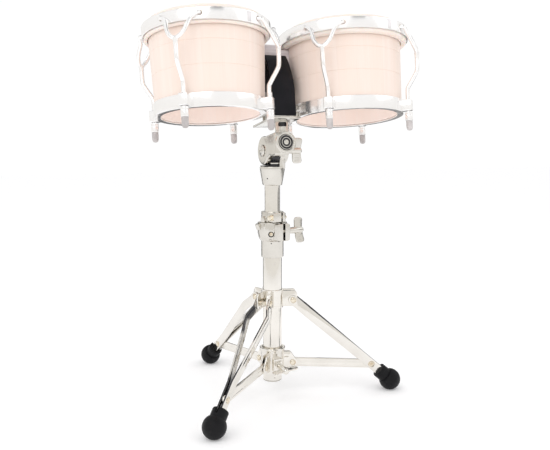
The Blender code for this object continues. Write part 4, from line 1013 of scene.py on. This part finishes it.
def make_lug(drum, number, place):
    """A wishbone hook with its rod, a barrel nut and a grey rubber tip."""
    _, band, ring, _ = DRUMS[drum]
    out = ring + LUG_OUT
    bulge, root = out + LUG_BULGE, 0.093

    def on_drum(radius, along, height):
        angle = along / band
        return Vector((radius * math.cos(angle), radius * math.sin(angle), height))

    arm = [(bulge + 0.001, 0.006, root + 0.0028), (bulge - 0.001, 0.0115, root + 0.0105),
           (bulge - 0.0045, 0.015, root + 0.02), (band + 0.006, 0.0185, root + 0.0285),
           (band + 0.0048, 0.0235, TIP_Z - 0.003), (band + 0.0042, 0.0285, TIP_Z - 0.0002),
           (band - 0.0008, TIP_ARC, TIP_Z)]
    line = [on_drum(r, -along, z) for r, along, z in arm[::-1]]
    line += [Vector((bulge + 0.001, 0, root))]
    line += [on_drum(r, along, z) for r, along, z in arm]
    hook = pipe(f"{drum}_hook_{number}", smoothed(line), LUG_R * 0.92, place,
                lambda t: 0.93 + 0.07 * math.sin(math.pi * t))
    stem = [(out, 0, -0.0115), (out, 0, 0.01), (out, 0, 0.033), (out + 0.0025, 0, 0.0405),
            (bulge - 0.0027, 0, 0.0595), (bulge, 0, 0.067), (bulge + 0.0006, 0, 0.08),
            (bulge + 0.0009, 0, root)]
    join(hook, pipe("stem", smoothed(stem), LUG_R, place, lambda t: 1 + 2.2 * max(0, t - 0.9)))
    piece(hook, WHITE_CHROME, "tilt_head", f"{drum}_tuning_lug_{number}", slot="white_chrome")
    nut = lathe(f"{drum}_nut_{number}", rounded([
        (0.0036, -0.0004), (0.0056, -0.0004), (0.006, -0.0012), (0.006, -0.0052),
        (0.0057, -0.0056), (0.006, -0.006), (0.006, -0.0146), (0.0052, -0.0152),
        (0.0036, -0.0152)], 0.0003, 2), place @ move(out, 0, 0), 40)
    piece(nut, WHITE_CHROME, "tilt_head", slot="white_chrome")
    tip = lathe(f"{drum}_tip_{number}", [
        (0, -0.012), (0.0046, -0.012), (0.0049, -0.0156), (0.0052, -0.0164), (0.0052, -0.0235),
        (0.0049, -0.0272), (0.0042, -0.0293), (0.0028, -0.0306), (0.0012, -0.031),
        (0, -0.031)], place @ move(out, 0, 0), 40, 50)
    piece(tip, TIP, "tilt_head", slot="rubber")


def make_drums():
    for drum, (x, _, _, _) in DRUMS.items():
        place = TILT @ move(x, DRUM_Y, DRUM_Z)
        make_shell(drum, place)
        make_head(drum, place)
        make_band(drum, place)
        make_ring(drum, place)
        for number, angle in enumerate(LUG_ANGLES[drum], 1):
            make_lug(drum, number, place @ turn(angle))
    carry("centre_block", BLOCK, 0.001, 3)
    for number in (1, 2):
        carry(f"block_bolt_{number}", SATIN, 0.0004)


# ---- studio

CAMERA_LENS = 45.77
CAMERA_X, CAMERA_Y, CAMERA_Z = -0.4327, -1.0731, 0.4233  # from the foot of the stand's axis
CAMERA_PITCH, CAMERA_YAW = 83.39, -22.18  # degrees


def make_camera():
    data = bpy.data.cameras.new("camera")
    data.sensor_width = 36
    data.lens = CAMERA_LENS
    camera = add("camera", data)
    camera.location = (AXIS.x + CAMERA_X, AXIS.y + CAMERA_Y, CAMERA_Z)
    camera.rotation_euler = (math.radians(CAMERA_PITCH), 0, math.radians(CAMERA_YAW))
    bpy.context.scene.camera = camera


def make_floor():
    shape = bmesh.new()
    bmesh.ops.create_grid(shape, x_segments=1, y_segments=1, size=9)
    floor = keep("floor", shape, Matrix.Identity(4))
    surface = Shader("floor", (0.9, 0.9, 0.91), 0.8, 0, Specular_IOR_Level=0,
                     Emission_Color=(1, 1, 1, 1), Emission_Strength=0.15)
    floor.data.materials.append(surface.material)


def upright(azimuth, distance, height):
    """The place of a standing card that faces the stand."""
    return turn(azimuth) @ move(distance, 0, height) @ turn(90, "Y")


def make_flag(name, place, tall, wide, shade):
    """A dark card that only the object's polished metal sees."""
    shape = bmesh.new()
    bmesh.ops.create_grid(shape, x_segments=1, y_segments=1, size=0.5)
    card = keep(name, shape, place @ Matrix.Diagonal((tall, wide, 1, 1)))
    card.data.materials.append(Shader(name, (shade, shade, shade), 1).material)
    card.visible_camera = False
    card.visible_diffuse = False
    card.visible_shadow = False


def make_area(name, location, size, power):
    """A soft light from the front, aimed at the middle of the stand."""
    data = bpy.data.lights.new(name, "AREA")
    data.shape = "RECTANGLE"
    data.size, data.size_y = size
    data.energy = power
    lamp = add(name, data)
    lamp.location = location
    aim = Vector((0, 0, 0.3)) - Vector(location)
    lamp.rotation_euler = aim.to_track_quat("-Z", "Y").to_euler()


def make_world():
    """White all round; polished metal sees it darker low down, with dark gaps overhead."""
    world = bpy.data.worlds.new("studio")
    bpy.context.scene.world = world
    world.use_nodes = True
    made = Nodes(world.node_tree)
    spot = made.node("TexCoord").outputs["Generated"]
    rise = made.node("SeparateXYZ", {"Vector": spot}).outputs["Z"]
    ramp = made.node("ValToRGB", {"Fac": made.span(rise, -1, 1)})
    low, high = ramp.color_ramp.elements
    low.position, low.color = 0.46, (0.93, 0.91, 0.87, 1)
    high.position, high.color = 0.8, (1, 1, 1, 1)
    ramp.color_ramp.elements.new(0.56).color = (0.95, 0.935, 0.91, 1)
    patches = made.node("TexNoise", {"Vector": spot, "Scale": 2.6, "Detail": 0.5}).outputs["Fac"]
    path = made.node("LightPath").outputs
    gaps = made.maths("MULTIPLY", made.span(patches, 0.5, 0.56, 0, 0.9), made.span(rise, 0.5, 0.62))
    gaps = made.maths("MULTIPLY", gaps, path["Is Glossy Ray"])
    sky = made.tree.nodes["Background"]
    made.feed(sky.inputs["Color"], made.mix(gaps, ramp.outputs["Color"], (0.04, 0.04, 0.045)))
    made.feed(sky.inputs["Strength"], 0.95)
    plain = made.node("Background", {"Color": (1, 1, 1, 1), "Strength": 1.02})
    mixer = made.node("MixShader", {"Fac": path["Is Camera Ray"], 1: sky.outputs[0],
                                    2: plain.outputs[0]})
    made.feed(made.tree.nodes["World Output"].inputs["Surface"], mixer.outputs[0])


make_camera()
make_floor()
for name, azimuth, distance, height, tall, wide, shade in (
        ("edge_card_left", 84, 0.8, 0.12, 0.6, 0.22, 0.03),
        ("edge_card_right", 52, 0.8, 0.12, 0.6, 0.22, 0.03),
        ("edge_card_high", 68, 0.8, 0.89, 0.82, 0.6, 0.03),
        ("back_card", 38, 0.75, 0.11, 0.62, 0.5, 0.22),
        ("right_card", 352, 0.6, 0.33, 0.16, 0.5, 0.36),
        ("left_card", 112, 0.7, 0.085, 0.57, 0.24, 0.3)):
    make_flag(name, upright(azimuth, distance, height), tall, wide, shade)
make_area("key", (-1.3, -1.4, 2.1), (2, 2), 12)
make_area("fill", (1.6, -0.9, 1.6), (1.6, 1.2), 3)
make_world()
bpy.context.scene.view_settings.view_transform = "Standard"

make_column()
make_height_clamp()
make_wings()
make_memory_collar()
make_cup()
make_hub()
make_collar()
make_legs()
make_tilter()
make_clamp()
make_drums()
